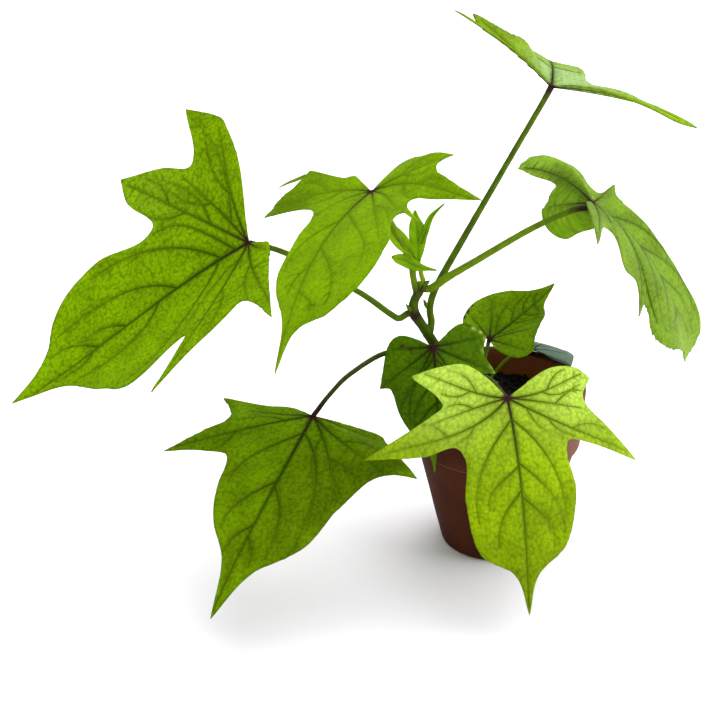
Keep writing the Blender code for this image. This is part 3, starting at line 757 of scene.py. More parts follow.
# How fresh a green each stalk is, from its foot to its blade.
STALK_BRIGHT = {
    "left": ((0, 0.1), (0.3, 0.15), (1, 0.2)), "upper": ((0, 0.5), (0.5, 0.45), (1, 0.2)),
    "low": ((0, 0.0), (1, 0.0)), "front": ((0, 0.1), (1, 0.0)), "rim": ((0, 0.0), (1, 0.0)),
    "back": ((0, 0.1), (1, 0.2)), "top": ((0, 0.30), (0.2, 0.12), (0.7, 0.05), (1, 0.10)),
    "right": ((0, 0.50), (0.3, 0.35), (1, 0.25)), "far": ((0, 0.9), (1, 0.6)),
}
# How purple each stalk is; the others are as purple as the plain one.
PLAIN_STALK_PURPLE = ((0, 0.55), (0.06, 0.10), (0.90, 0.05), (1, 1.0))
STALK_PURPLE = {
    "low": ((0, 0.8), (0.15, 0.35), (0.5, 0.45), (0.85, 0.55), (1, 1.0)),
    "front": ((0, 0.6), (0.4, 0.35), (0.8, 0.45), (1, 1.0)),
    "rim": ((0, 0.9), (1, 0.9)),
    "left": ((0, 0.7), (0.08, 0.15), (0.75, 0.10), (0.92, 0.5), (1, 1.0)),
    "right": ((0, 0.9), (0.05, 0.25), (0.12, 0.05), (0.82, 0.10), (0.90, 0.8), (1, 1.0)),
    "top": ((0, 0.8), (0.04, 0.15), (0.92, 0.10), (0.97, 0.6), (1, 1.0)),
    "upper": ((0, 0.8), (0.10, 0.30), (0.25, 0.05), (0.85, 0.05), (1, 1.0)),
}
for name, stations in STALKS.items():
    seat = (*LEAVES[name]["at"], stations[-1][3] * 1.1)
    if name == "far":
        foot = (stations[0][0] - 0.4, stations[0][1], SOIL_TOP - 1.5, stations[0][3])
    elif name in FEET:
        socket = main_line[round(FEET[name] * (len(main_line) - 1))]
        foot, stations = (*socket.xyz, stations[0][3]), stations[1:]
    else:
        socket = nearest_on(main_line, stations[0][:3])
        foot = (*socket.xyz, min(stations[0][3] * 1.25, socket.w))
    if "seat" in LEAVES[name]:
        stations = (*stations, (*LEAVES[name]["seat"], stations[-1][3]))
    stalk = limb("stalk_" + name + "_skin", (foot, *stations, seat),
                 STALK_PURPLE.get(name, PLAIN_STALK_PURPLE), STALK_BRIGHT[name])
    keep_as(stalk, "stalk_" + name + "_skin", "stem", "stalk_" + name)

# %% [markdown]
# A leaf blade is soft and cupped, and no flat sheet. Its outline is drawn in the plane, as
# stations round the stalk's seat: a tip, where the margin turns a corner, or a bend. Every
# point of it lies on a ray from the seat, and the rays rise and curl down by rows of
# (angle, rise, curl), so that each lobe droops in its own way.

# %% Blades: outline and shape
OUTLINE_STEPS = 12                     # points between two stations of the margin
BLADE_ROW = 0.8                        # millimetres between two rows, along the longest ray
BLADE_THICK = 0.34                     # millimetres
QUILT = 0.30                           # how far the blade puffs up between its veins
QUILT_REACH = 1.8                      # how fast it does, away from a vein
ROUGH = 0.18                           # how uneven a margin is
RIPPLE = 0.9                           # how far the blade ripples at its margin


def eased(start, leave, end, arrive, t):
    """Places on a curve from start to end, which sets off and arrives along two vectors."""
    return (start * (2 * t ** 3 - 3 * t * t + 1) + leave * (t ** 3 - 2 * t * t + t)
            + end * (3 * t * t - 2 * t ** 3) + arrive * (t ** 3 - t * t))


def margin_curve(stations, steps):
    """Points of the flat outline: it turns a corner at a tip and is round elsewhere."""
    flat = [Vector((reach * math.cos(math.radians(a)), reach * math.sin(math.radians(a))))
            for a, reach, *_ in stations]
    outline = []
    for i in range(len(flat) - 1):
        start, end = flat[i], flat[i + 1]
        before = flat[i - 1] if i else Vector((0, 0))
        after = flat[i + 2] if i + 2 < len(flat) else Vector((0, 0))
        chord = (end - start).length
        leave = arrive = end - start
        if TIP not in stations[i]:
            leave = (end - before).normalized() * chord
        if TIP not in stations[i + 1]:
            arrive = (after - start).normalized() * chord
        outline += [eased(start, leave, end, arrive, k / steps) for k in range(steps)]
    outline.append(flat[-1])
    return np.array(outline)


def polar_margin(leaf, seed):
    """Angles (falling) and reaches of the outline, made slightly uneven as a real margin is."""
    outline = margin_curve(leaf["margin"], OUTLINE_STEPS)
    angle = np.degrees(np.arctan2(outline[:, 1], outline[:, 0]))
    reach = np.hypot(outline[:, 0], outline[:, 1])
    steps = np.hypot(*np.diff(outline, axis=0).T)
    along = np.concatenate(([0], np.cumsum(steps)))
    rough = leaf.get("rough", ROUGH)
    uneven = np.array([noise.noise(Vector((s * 0.55, seed * 7.3, 0))) for s in along])
    uneven += 0.6 * np.array([noise.noise(Vector((s * 1.4, seed * 3.1, 5.0))) for s in along])
    teeth = np.array([noise.noise(Vector((s * 0.95, seed * 1.9, 9.0))) for s in along])
    for low, high, size in leaf.get("teeth", ()):
        uneven += (size / rough * teeth * np.clip((angle - low) / 3, 0, 1)
                   * np.clip((high - angle) / 3, 0, 1))
    reach = reach + rough * uneven * np.clip(reach / 12, 0, 1)
    for i in range(1, len(angle)):
        angle[i] = min(angle[i], angle[i - 1] - 0.02)
    return angle, reach


def fold_at(leaf, angle):
    """Rise and curl of the rays at some angles, eased between the fold's rows."""
    rows = np.array(sorted(leaf["fold"]), float)
    angle = np.clip(angle, rows[0, 0], rows[-1, 0])
    upper = np.clip(np.searchsorted(rows[:, 0], angle), 1, len(rows) - 1)
    low, high = rows[upper - 1], rows[upper]
    t = (angle - low[..., 0]) / (high[..., 0] - low[..., 0])
    t = t * t * (3 - 2 * t)
    return (np.radians(low[..., 1] + (high[..., 1] - low[..., 1]) * t),
            np.radians(low[..., 2] + (high[..., 2] - low[..., 2]) * t))


def blade_axes(leaf):
    """Rows: along the midrib, to its left, and out of the upper face."""
    heading, climb, lean = (math.radians(leaf[k]) for k in ("heading", "climb", "lean"))
    along = Vector((math.cos(climb) * math.cos(heading), math.cos(climb) * math.sin(heading),
                    math.sin(climb)))
    upright = (Vector((0, 0, 1)) - along.z * along).normalized()
    level = upright.cross(along)
    face = upright * math.cos(lean) + level * math.sin(lean)
    left = level * math.cos(lean) - upright * math.sin(lean)
    return np.array((along, left, face))


def on_blade(leaf, angle, distance):
    """Places on the middle of a blade, at some angles and distances from its seat."""
    rise, curl = fold_at(leaf, angle)
    bend = curl / leaf["length"]
    bend = np.where(abs(bend) < 1e-6, 1e-6, bend)
    out = (np.sin(rise) - np.sin(rise - bend * distance)) / bend
    up = (np.cos(rise - bend * distance) - np.cos(rise)) / bend
    turn = np.radians(angle)
    local = np.stack((out * np.cos(turn), out * np.sin(turn), up), axis=-1)
    return local @ blade_axes(leaf) + np.array(leaf["at"])


def faces_out(leaf, angle, distance):
    """Unit normals of the upper face at the same places."""
    distance = np.maximum(distance, 0.5)
    outward = on_blade(leaf, angle, distance + 0.2) - on_blade(leaf, angle, distance - 0.2)
    around = on_blade(leaf, angle + 1.0, distance) - on_blade(leaf, angle - 1.0, distance)
    normal = np.cross(outward, around)
    return normal / np.linalg.norm(normal, axis=-1, keepdims=True)


print("leaves:", ", ".join(f"{n} {v['length']} mm" for n, v in LEAVES.items()))

# %% [markdown]
# The veins are what a reader sees first on such a blade. Strong ones fan out from the seat
# to the tips of the lobes; side veins leave them on both hands and bend towards the tip;
# short twigs leave those, and a fine net fills the rest. All but the net are real ridges
# that follow the blade. They are grown by a rule, from a few values for each leaf.

# %% Blades: veins
# For every leaf its strong veins, the midrib first: angle and share of the reach at the
# vein's tip, how many degrees it sets off to the side of that, and then each vein that
# leaves it: (share along it, angle at the tip, share of the reach at the tip).
VEINS = {
    "left": (
        (0, 0.97, -12, (0.12, -25, 0.91), (0.13, 24, 0.95), (0.33, -11.5, 0.96),
         (0.41, 4.5, 0.97), (0.56, -6.5, 0.80), (0.70, -6.8, 0.96), (0.73, 1.0, 0.90),
         (0.05, -41, 0.96)),
        (-58.5, 0.94, 0, (0.30, -66, 0.90), (0.50, -50, 0.95), (0.65, -64, 0.93)),
        (-75, 0.90, -6, (0.27, -95, 0.93), (0.55, -67, 0.95)),
        (-107, 0.90, 12, (0.45, -100, 0.93)),
        (48.5, 0.93, 6, (0.12, 40, 0.93), (0.35, 56, 0.93)),
        (97, 0.93, -14, (0.30, 84, 0.93), (0.40, 108, 0.90)), (119, 0.80, -8)),
    "upper": (
        (-2, 0.95, -12, (0.16, 24, 0.84), (0.22, -22, 0.90), (0.40, 12, 0.92), (0.50, -10, 0.90),
         (0.64, 5, 0.92)),
        (38, 0.80, 3, (0.40, 46, 0.93)),
        (-83, 0.97, -16, (0.30, -75, 0.80), (0.45, -98, 0.90), (0.60, -78, 0.90)),
        (-50, 0.97, -25), (81, 0.93, 22, (0.30, 74, 0.90), (0.45, 90, 0.92)),
        (110, 0.85, 5, (0.50, 102, 0.90), (0.45, 120, 0.90)), (57, 0.90, 20)),
    "low": (
        (-2, 0.97, 6, (0.10, -27.5, 0.88), (0.11, 17, 0.97), (0.38, -13.5, 0.95),
         (0.41, 7.5, 0.96), (0.60, -7, 0.96), (0.66, 3, 0.93)),
        (-66.5, 0.95, -4, (0.20, -80, 0.86), (0.55, -58, 0.93)), (-93, 0.75, 6),
        (36.5, 0.94, 9, (0.55, 47, 0.93), (0.30, 30, 0.90)), (62, 0.97, -9, (0.45, 72, 0.90)),
        (90, 0.90, -6)),
    "front": (
        (1, 0.97, 4, (0.10, 22, 0.92), (0.11, -19, 0.87), (0.31, 19, 0.94), (0.45, -9, 0.89),
         (0.48, 13.5, 0.93), (0.33, -16, 0.72)),
        (65.5, 0.95, -6, (0.17, 52, 0.92), (0.35, 59, 0.90), (0.55, 72, 0.92)),
        (81, 0.88, 2, (0.62, 93.5, 0.96)),
        (104.5, 0.95, -18, (0.45, 98, 0.90), (0.50, 112, 0.90)),
        (-70, 0.95, 27, (0.32, -55, 0.93), (0.50, -76, 0.92)),
        (-75, 0.76, -3, (0.45, -84, 0.93)),
        (-105, 0.95, 12, (0.38, -112, 0.90), (0.45, -95, 0.90))),
    "rim": (
        (-1, 0.97, 2), (67, 0.90, -6), (101, 0.85, -4), (-62, 0.90, 6), (-98, 0.85, 4),
        (34, 0.88, -8), (-34, 0.88, 8)),
    "back": (
        (3, 0.97, 2), (48, 0.85, -6), (84, 0.80, -4), (-45, 0.85, 6), (-80, 0.85, 4)),
    "top": (
        (0, 0.97, 0, (0.28, 24, 0.85), (0.32, -22, 0.85), (0.50, 12, 0.90), (0.54, -11, 0.90)),
        (76, 0.90, -4), (96, 0.90, -2), (-86, 0.92, 4), (-97, 0.90, 0)),
    "right": (
        (3, 0.97, -3), (150, 0.85, 0), (131, 0.92, 0), (77, 0.90, -6), (-35, 0.92, 8),
        (-60, 0.70, 4), (-84, 0.93, 4)),
    "far": (
        (0, 0.97, 0), (60, 0.85, -6), (-60, 0.85, 6)),
}
# A midrib with no side veins of its own in the table gets these pairs.
PAIR_SHARES = (0.12, 0.34, 0.54, 0.72)
PAIR_SPREAD, PAIR_CLOSES = 24.0, 20    # degrees to a pair's tips, and how that shrinks
VEIN_STEP = 0.9
LEAVE, ARRIVE = 48.0, 8.0              # degrees from its parent's way, as it leaves and ends
SIDE_LIMIT, TWIG_LIMIT = 0.985, 0.93   # share of the reach that side veins and twigs keep to
TWIG_GAP = 3.6                         # millimetres between the twigs of a vein
TWIG_LENGTH = 5.0
TWIG_ANGLE, TWIG_BEND = 56, 5          # degrees from the vein's way, and bend at every step
MIDRIB, STRONG = 1.0, 0.85             # strengths of the veins, by rank
FROM_MIDRIB, FROM_STRONG, TWIG = 0.80, 0.65, 0.28
LONGEST = 92                           # length of the longest blade, whose veins are widest
# Half widths at a vein's foot: the least one, and what is added for the longest blade.
MIDRIB_WIDTH, STRONG_WIDTH, SIDE_WIDTH = (0.26, 0.28), (0.18, 0.24), (0.16, 0.18)
VEIN_END, SIDE_END, TWIG_END = 0.08, 0.06, 0.05   # half widths left at their far ends


def direction(degrees):
    return np.array((math.cos(math.radians(degrees)), math.sin(math.radians(degrees))))


def heading_at(path, i):
    ahead = path[min(i + 1, len(path) - 1)] - path[max(i - 1, 0)]
    return math.degrees(math.atan2(ahead[1], ahead[0]))


def side_vein(path, at, end):
    """A vein from point number `at` of its parent's path: steep at first, then along it."""
    start, ahead = path[at], heading_at(path, at)
    chord = end - start
    size = 1.1 * np.hypot(*chord)
    way = direction(ahead)
    side = 1 if way[0] * chord[1] - way[1] * chord[0] > 0 else -1
    leave, arrive = size * direction(ahead + side * LEAVE), size * direction(ahead - side * ARRIVE)
    t = np.linspace(0, 1, max(5, int(size / VEIN_STEP)))[:, None]
    return eased(start, leave, end, arrive, t)


def grow_veins(name, leaf, angle, reach):
    """Vein paths in the blade's plane, each as (points, half widths, strength)."""
    def reach_at(a):
        return float(np.interp(a, angle[::-1], reach[::-1], left=0.0, right=0.0))

    def inside(point, share):
        return np.hypot(*point) < share * reach_at(math.degrees(math.atan2(point[1], point[0])))

    size = leaf["length"] / LONGEST
    veins = []
    for number, (tip, share, out, *sides) in enumerate(VEINS[name]):
        far = reach_at(tip) * share
        t = np.linspace(0.0, 1.0, max(6, int(far / VEIN_STEP)))
        turn = np.radians(tip + out * (1 - t) ** 1.6)
        path = np.stack((far * t * np.cos(turn), far * t * np.sin(turn)), axis=1)
        least, more = STRONG_WIDTH if number else MIDRIB_WIDTH
        width = least + more * size
        veins.append((path, width * (1 - t) ** 0.7 + VEIN_END, STRONG if number else MIDRIB))
        if number == 0 and not sides:
            sides = [(s, side * (PAIR_SPREAD - PAIR_CLOSES * s), 0.90)
                     for s in PAIR_SHARES for side in (1, -1)]
        for leaves_at, end_angle, end_share in sides:
            at = round(leaves_at * (len(path) - 1))
            end = end_share * reach_at(end_angle) * direction(end_angle)
            side = side_vein(path, at, end)
            side = side[[inside(point, SIDE_LIMIT) for point in side]]
            t = np.linspace(0, 1, len(side))
            width = min(SIDE_WIDTH[0] + SIDE_WIDTH[1] * size, veins[-1][1][0])
            veins.append((side, width * (1 - t) ** 0.6 + SIDE_END,
                          FROM_STRONG if number else FROM_MIDRIB))
    for path, widths, strength in list(veins):
        gap = max(2, round(TWIG_GAP / VEIN_STEP))
        for i in range(gap, len(path) - 2, gap):
            for side in (1, -1):
                way = heading_at(path, i) + side * TWIG_ANGLE
                length = TWIG_LENGTH * (0.5 + 0.5 * size) * (1 - 0.5 * i / len(path))
                points, ahead = [], path[i]
                while len(points) < length / VEIN_STEP and inside(ahead, TWIG_LIMIT):
                    points.append(ahead)
                    ahead = ahead + VEIN_STEP * direction(way)
                    way -= side * TWIG_BEND
                if len(points) > 2:
                    fade = np.linspace(1, 0, len(points))
                    veins.append((np.array(points), TWIG_END * fade + TWIG_END,
                                  TWIG * strength))
    return veins


# %% [markdown]
# A ridge is a slender tube along its vein, deeper than it is wide, so that it stands a
# little proud of both faces of the blade. Its colour fades towards its far end, and the
# strong ones are purple near the seat. All ridges of a leaf are joined into one piece.

# %% Blades: ridges
RIDGE_SIDES = 8
RIDGE_PROUD = 0.10                     # millimetres over the blade's face
# What a midrib, the next strongest veins and the rest keep of their colour at the far end.
FADE_TO = (0.6, 0.35, 0.15)
STAIN_REACH = 12.0                     # how far from the seat the purple runs along the midrib


def polar(points):
    """Angles, in degrees, and distances from the seat of points of the plane."""
    return np.degrees(np.arctan2(points[:, 1], points[:, 0])), np.hypot(*points.T)


def ridge(leaf, points, widths):
    """Rings of a tube along a flat path that is laid on the blade, and its faces."""
    ahead = np.gradient(points, axis=0)
    ahead /= np.linalg.norm(ahead, axis=1, keepdims=True)
    across = np.stack((-ahead[:, 1], ahead[:, 0]), axis=1)
    middle = on_blade(leaf, *polar(points))
    normal = faces_out(leaf, *polar(points))
    side = on_blade(leaf, *polar(points + across * 0.3)) - middle
    side -= (side * normal).sum(1, keepdims=True) * normal
    side /= np.linalg.norm(side, axis=1, keepdims=True) + 1e-9
    turn = np.arange(RIDGE_SIDES) * 2 * math.pi / RIDGE_SIDES
    high = BLADE_THICK / 2 + RIDGE_PROUD
    rings = (middle[:, None, :]
             + side[:, None, :] * (widths[:, None] * np.cos(turn))[..., None]
             + normal[:, None, :] * (high * np.sin(turn))[None, :, None])
    last = len(points) - 1
    faces = [(r * RIDGE_SIDES + i, r * RIDGE_SIDES + (i + 1) % RIDGE_SIDES,
              (r + 1) * RIDGE_SIDES + (i + 1) % RIDGE_SIDES, (r + 1) * RIDGE_SIDES + i)
             for r in range(last) for i in range(RIDGE_SIDES)]
    faces.append(tuple(range(RIDGE_SIDES))[::-1])
    faces.append(tuple(last * RIDGE_SIDES + i for i in range(RIDGE_SIDES)))
    return rings.reshape(-1, 3), faces


def ridges_piece(name, leaf, veins, finish):
    """All the ridges of a leaf, as one mesh."""
    points, faces, depth, stain = [], [], [], []
    for path, widths, strength in veins:
        rings, sides = ridge(leaf, path, widths)
        points.append(rings)
        faces.append(sides)
        out = np.repeat(np.hypot(*path.T), RIDGE_SIDES)
        last = FADE_TO[0 if strength == MIDRIB else 1 if strength >= FROM_MIDRIB else 2]
        fade = np.repeat(1 - (1 - last) * np.linspace(0, 1, len(path)) ** 1.5, RIDGE_SIDES)
        depth.append(strength ** 0.5 * fade)
        stain.append(np.exp(-(out / (STAIN_REACH * strength ** 5)) ** 2)
                     * (strength > FROM_MIDRIB))
    piece = joined_mesh(name, points, faces)
    keep_values(piece, "depth", np.concatenate(depth))
    keep_values(piece, "purple", np.concatenate(stain))
    piece.data.materials.append(finish)
    smooth(piece, 70.0)
    return piece


# %% [markdown]
# The blade is a grid that is laid over the fan: its columns are the rays and its rows lie
# further and further out. It puffs up between the veins and ripples a little towards the
# margin. Solidify then gives the sheet its thickness and its underside a finish of its own.
# What the finish has to know about a point is kept on it: how near it is to a vein, to the
# seat and to the margin, and how deep it lies in a brown mark, a sheen or a shade.

# %% Blades: sheets
PLAN_SCALE = 0.01                      # from millimetres of the plane to its coordinates
SEAT_REACH, MARGIN_REACH = 2.2, 0.45   # millimetres that the seat's and the margin's tints run
# Patches of a blade, as (angle, distance from the seat, radius): brown spots; and a painted
# sheen where the light falls, or painted shade, with how much at the end.
MARKS = {
    "rim": ((-96, 7, 1.2), (-103, 9.5, 0.9), (-60, 20, 0.8)),
    "back": ((85, 13.0, 1.5), (97, 11.6, 1.4), (74, 14.6, 0.9), (4, 29, 1.5)),
    "front": ((-102, 31.5, 1.0),),
    "left": ((131, 12, 0.6),),
}
SHEENS = {
    "front": ((104, 22, 15, 0.75), (-105, 20, 16, 0.72), (66, 44, 7, 0.20)),
    "rim": ((113, 14.2, 0.6, 0.8), (107, 16, 0.6, 0.8), (98, 17, 0.8, 0.7), (86, 16, 0.8, 0.5),
            (72, 19, 0.8, 0.6), (66, 21, 1.0, 0.7)),
    "top": ((-40, 14, 14, 0.90), (0, 10, 8, 0.60)),
    "right": ((0, 58, 15, 0.15), (-60, 28, 12, 0.12), (128, 32, 10, 0.15)),
    "left": ((-58, 44, 16, 0.06),),
}
SHADES = {
    "front": ((0, 56, 22, 0.42), (-66, 31, 9, 0.18)),
    "upper": ((-84, 30, 13, 0.45),),
    "low": ((45, 34, 22, 0.45), (8, 46, 9, 0.22)),
    "rim": ((88, 8, 6, 0.18),),
    # The right leaf's round ear and far lobe get negative amounts: painted light, lighter where
    # light comes through the blade.
    "right": ((-36, 28, 9, 0.22), (155, 9, 8, -0.80), (131, 28, 9, -0.60)),
    "top": ((72, 24, 12, 0.25),),
}


def patch(plan, angle, distance, size):
    """How deep points of the plane lie in a round patch: 1 in its middle, 0 well outside."""
    return np.exp(-(np.hypot(*(plan - distance * direction(angle)).T) / size) ** 2)


def near_veins(veins, plan):
    """For points of the plane: distance to the nearest vein, and the shade that veins cast."""
    nearest = np.full(len(plan), 99.0)
    shade = np.zeros(len(plan))
    for path, widths, strength in veins:
        for i in range(0, len(path) - 1, 2):
            start, along = path[i], path[min(i + 2, len(path) - 1)] - path[i]
            share = np.clip((plan - start) @ along / (along @ along), 0, 1)
            gap = np.hypot(*(plan - start - share[:, None] * along).T)
            fade = 1 - 0.5 * i / len(path)
            cast = strength * fade * np.exp(-(gap / (0.25 + 1.7 * widths[i])) ** 2)
            np.minimum(nearest, gap + 1.6 * (1 - strength), out=nearest)
            np.maximum(shade, cast, out=shade)
    return nearest, shade


def blade_piece(name, leaf, veins, angle, reach, seed, finishes):
    """The sheet of a blade, with the finishes of its upper and its lower face."""
    select_none()
    rows = round(leaf["length"] / BLADE_ROW)
    bpy.ops.mesh.primitive_grid_add(x_subdivisions=len(angle) - 1, y_subdivisions=rows, size=1.0)
    piece = bpy.context.active_object
    share = (np.arange(rows + 1) / rows) ** 0.95
    turn = np.tile(angle, rows + 1)
    distance = (share[:, None] * reach[None]).ravel()
    radians = np.radians(turn)
    plan = np.stack((distance * np.cos(radians), distance * np.sin(radians)), axis=1)
    gap, shade = near_veins(veins, plan)
    inset = (1 - share[:, None]) * reach[None]
    puff = QUILT * (1 - np.exp(-(gap / QUILT_REACH) ** 2)) * np.clip(inset.ravel() / 2.0, 0, 1)
    along = np.concatenate(([0], np.cumsum(np.abs(np.diff(angle)) * np.pi / 180 * reach[1:])))
    wave = np.array([noise.noise(Vector((s * 0.11, seed * 5.7, 1.0))) for s in along])
    ripple = (RIPPLE * (share[:, None] ** 4 * wave[None]).ravel()
              * np.clip(distance / 20, 0, 1))
    points = (on_blade(leaf, turn, distance)
              + faces_out(leaf, turn, distance) * (puff + ripple)[:, None])
    piece.data.vertices.foreach_set("co", (points * MM).ravel())
    piece.data.uv_layers[0].name = "plan"
    corner = np.zeros(len(piece.data.loops), np.int32)
    piece.data.loops.foreach_get("vertex_index", corner)
    flat = (plan[corner] * PLAN_SCALE + 0.5).astype(np.float32)
    piece.data.uv_layers[0].data.foreach_set("uv", flat.ravel())
    mark = np.zeros(len(plan))
    for spot in MARKS.get(name, ()):
        mark = np.maximum(mark, patch(plan, *spot))
    sheen, painted_shade = (sum((strength * patch(plan, *spot) for *spot, strength in table.get(name, ())),
                       np.zeros(len(plan))) for table in (SHEENS, SHADES))
    for title, values in (("vein", shade), ("seat", np.exp(-(distance / SEAT_REACH) ** 2)),
                          ("margin", np.exp(-inset.ravel() / MARGIN_REACH)), ("mark", mark),
                          ("sheen", sheen), ("shade", painted_shade)):
        keep_values(piece, title, values)
    for finish in finishes:
        piece.data.materials.append(finish)
    bpy.ops.object.mode_set(mode="EDIT")
    bpy.ops.mesh.select_all(action="SELECT")
    bpy.ops.mesh.remove_doubles(threshold=1e-6)
    bpy.ops.object.mode_set(mode="OBJECT")
    facing = np.array([p.normal for p in list(piece.data.polygons)[::97]]).mean(0)
    if facing @ faces_out(leaf, np.array(0.0), np.array(leaf["length"] / 2)) < 0:
        piece.data.flip_normals()
    thicken = piece.modifiers.new("thickness", "SOLIDIFY")
    thicken.thickness = BLADE_THICK * MM
    thicken.offset = 0.0
    thicken.material_offset = 1
    thicken.material_offset_rim = 0
    bpy.ops.object.modifier_apply(modifier=thicken.name)
    smooth(piece, 60.0)
    return piece


# %% [markdown]
# The blade's finish is built up in layers. Broad mottling comes first, paler in a sheen.
# A net of fine veins lies over it: dim patches between soft cells, a fine grain, and the
# borders of coarser cells; a shade darkens the whole. Then come the bands beside the
# veins, the margin, the brown marks, and the purple of the seat. Light passes through the
# cells and hardly through the net and the veins, so the same values set how much of the
# surface is translucent. The lower face has a duller tint, or one of its own.

# %% Leaf finishes
PURPLE = (0.028, 0.009, 0.010)         # stain where the stalk meets the blade
MARK_COLOUR = (0.045, 0.022, 0.010)
PALE = (0.66, 0.93, 0.13)              # the sheen on ears that lie level under the light
LEAST_CLEAR = 0.05                     # what the darkest vein still lets through


def leaf_finish(name, light, dark, line, glow, through, net, gloss, edge, pale):
    mat, shader, start, place = new_finish(name)
    plan = start.node("UVMap", {"uv_map": "plan"})
    vein, seat, margin, mark, sheen, shade = start.kept(
        "vein", "seat", "margin", "mark", "sheen", "shade")
    drift = plan.node("TexNoise", None, {"Vector": plan, "Scale": 90.0}, out=1)
    warp = plan.plus(drift.times(0.010))
    dim = warp.cells(84.0).ramp(0.15, 0.75)
    grain = plan.noise(330.0, 2.0).ramp(0.25, 0.75)
    meshes = warp.cracks(30.0).ramp(0.08, 0.0)
    lines = dim * 0.44 + grain * 0.34 + meshes * 0.22
    mottle = place.noise(120.0, 4.0)
    plain = sheen.blend(mottle.ramp(0.28, 0.72).blend(dark, light), pale)
    ground = plain.times((1 - lines * net) * (1 - shade))
    veined = (vein * 0.92).blend(ground, line)
    edged = (margin * edge).blend(veined, line)
    spotted = (mark + place.noise(900.0) * 1.4 - 0.95).ramp(0.10, 0.60).blend(edged, MARK_COLOUR)
    colour = seat.ramp(0.25, 0.9).blend(spotted, PURPLE)
    height = dim * -0.6 + meshes * -0.3 + place.noise(1800.0, 2.0) * 0.15
    feed(shader, Base_Color=colour, Roughness=0.46 + mottle * 0.15,
         Normal=bump(height, 0.35, 0.00025), Specular_IOR_Level=gloss)
    clear = start.math("MAXIMUM", 1 - lines * net - vein * 0.6 - seat, LEAST_CLEAR)
    shine_through(shader, start, clear * through, glow)
    return mat


def vein_finish(name, line, ground):
    mat, shader, start, place = new_finish(name)
    depth, purple = start.kept("depth", "purple")
    grain = place.noise(1200.0, 3.0)
    colour = purple.blend(depth.blend(ground, line), PURPLE)
    feed(shader, Base_Color=colour, Roughness=0.55 + grain * 0.15,
         Normal=bump(grain, 0.2, 0.0001), Specular_IOR_Level=0.01)
    return mat


# The tint of each leaf: its colour between the veins, how far its net and its veins stand
# out, how much light comes through, its gloss, and how dark its edge is.
TINT_ROWS = ("light", "net", "veins", "through", "gloss", "edge")
TINTS = {
    "left": ((0.285, 0.495, 0.001), 0.75, 1.00, 0.33, 0.01, 0.55),
    "upper": ((0.260, 0.460, 0.001), 0.50, 0.72, 0.28, 0.02, 0.55),
    "low": ((0.205, 0.365, 0.001), 0.65, 1.00, 0.22, 0.01, 0.40),
    "front": ((0.335, 0.510, 0.001), 0.62, 0.98, 0.25, 0.03, 0.25),
    "rim": ((0.110, 0.235, 0.001), 0.60, 0.95, 0.12, 0.03, 0.20),
    "back": ((0.212, 0.385, 0.001), 0.60, 0.85, 0.22, 0.02, 0.30),
    "top": ((0.290, 0.450, 0.004), 0.60, 1.00, 0.28, 0.02, 0.45),
    "right": ((0.205, 0.345, 0.012), 0.60, 0.90, 0.35, 0.08, 0.20),
    "far": ((0.095, 0.200, 0.110), 0.40, 0.50, 0.10, 0.40, 0.0),
}
PALES = {"top": (0.38, 0.55, 0.20)}    # sheens that are not of the common pale tint
UNDERSIDES = {                         # lower faces that are not just duller and greyer
    # The right leaf's lower face is painted brighter, standing in for light that comes through it.
    "right": (0.33, 0.50, 0.003),
    "top": (0.27, 0.41, 0.010),
}
VEIN_LINE = (0.06, 0.10, 0.4)          # share of the blade's own tint that is left in a vein
GLOW = (0.50, 0.80, 0.002)             # colour of the light that comes through a blade


def tints_of(name):
    tint = dict(zip(TINT_ROWS, TINTS[name]), pale=PALES.get(name, PALE))
    strength = tint.pop("veins")
    light = np.array(tint["light"])
    tint["dark"] = tuple(light * 0.68)
    tint["line"] = tuple(light * (1 - strength * (1 - np.array(VEIN_LINE))))
    tint["glow"] = tuple(0.5 * np.array(GLOW) * (1 + light[1] / 0.4))
    return tint


def underside(name, tint):
    """The lower face is duller and greyer, or has a tint of its own; its net shows less."""
    light = UNDERSIDES.get(name, tuple(0.82 * c + 0.015 for c in tint["light"]))
    return dict(tint, net=tint["net"] * 0.7, light=light, dark=tuple(0.72 * c for c in light))


# %% [markdown]
# Now the nine leaves are made: the outline, the veins that grow in it, the sheet over both,
# and the ridges. The upper leaf also has a small curled strip beside its left lobe.

# %% Blades: all nine
# The strip, as (x, y, z, half width) stations.
STRIPS = {"upper": ((-59.3, 12.6, 119.0, 0.48), (-62.0, 12.9, 117.6, 0.51),
                    (-64.7, 12.9, 116.5, 0.39), (-67.5, 12.7, 115.1, 0.15))}

for seed, (name, leaf) in enumerate(LEAVES.items()):
    look = leaf["look"]
    tint = tints_of(name)
    angle, reach = polar_margin(leaf, seed + 1)
    veins = grow_veins(name, leaf, angle, reach)
    finishes = (leaf_finish(name + "_upper", **tint),
                leaf_finish(name + "_under", **underside(name, tint)))
    blade = blade_piece(name, leaf, veins, angle, reach, seed + 1, finishes)
    if name in STRIPS:
        strip = limb("strip", STRIPS[name], ((0, 0), (1, 0)), ((0, 0.6), (1, 0.6)))
        join_all([blade, strip])
    keep_as(blade, "blade_" + name, look, "leaf_" + name)
    skin = vein_finish(name + "_veins", tint["line"], tint["dark"])
    ridges = ridges_piece("veins_" + name, leaf, veins, skin)
    keep_as(ridges, "veins_" + name, look)

# %% [markdown]
# The young leaves at the tip are still folded along their midribs. Each is a short grid
# that follows its midrib's path; its halves rise to either side, and it narrows to a point.
# A pale green shoot carries them.

# %% The tuft
SHOOT = ((-24.7, -2.2, 89.6, 1.0), (-24.0, -2.6, 90.6, 0.80), (-24.5, -2.5, 92.6, 0.72),
         (-25.0, -2.4, 95.6, 0.65))
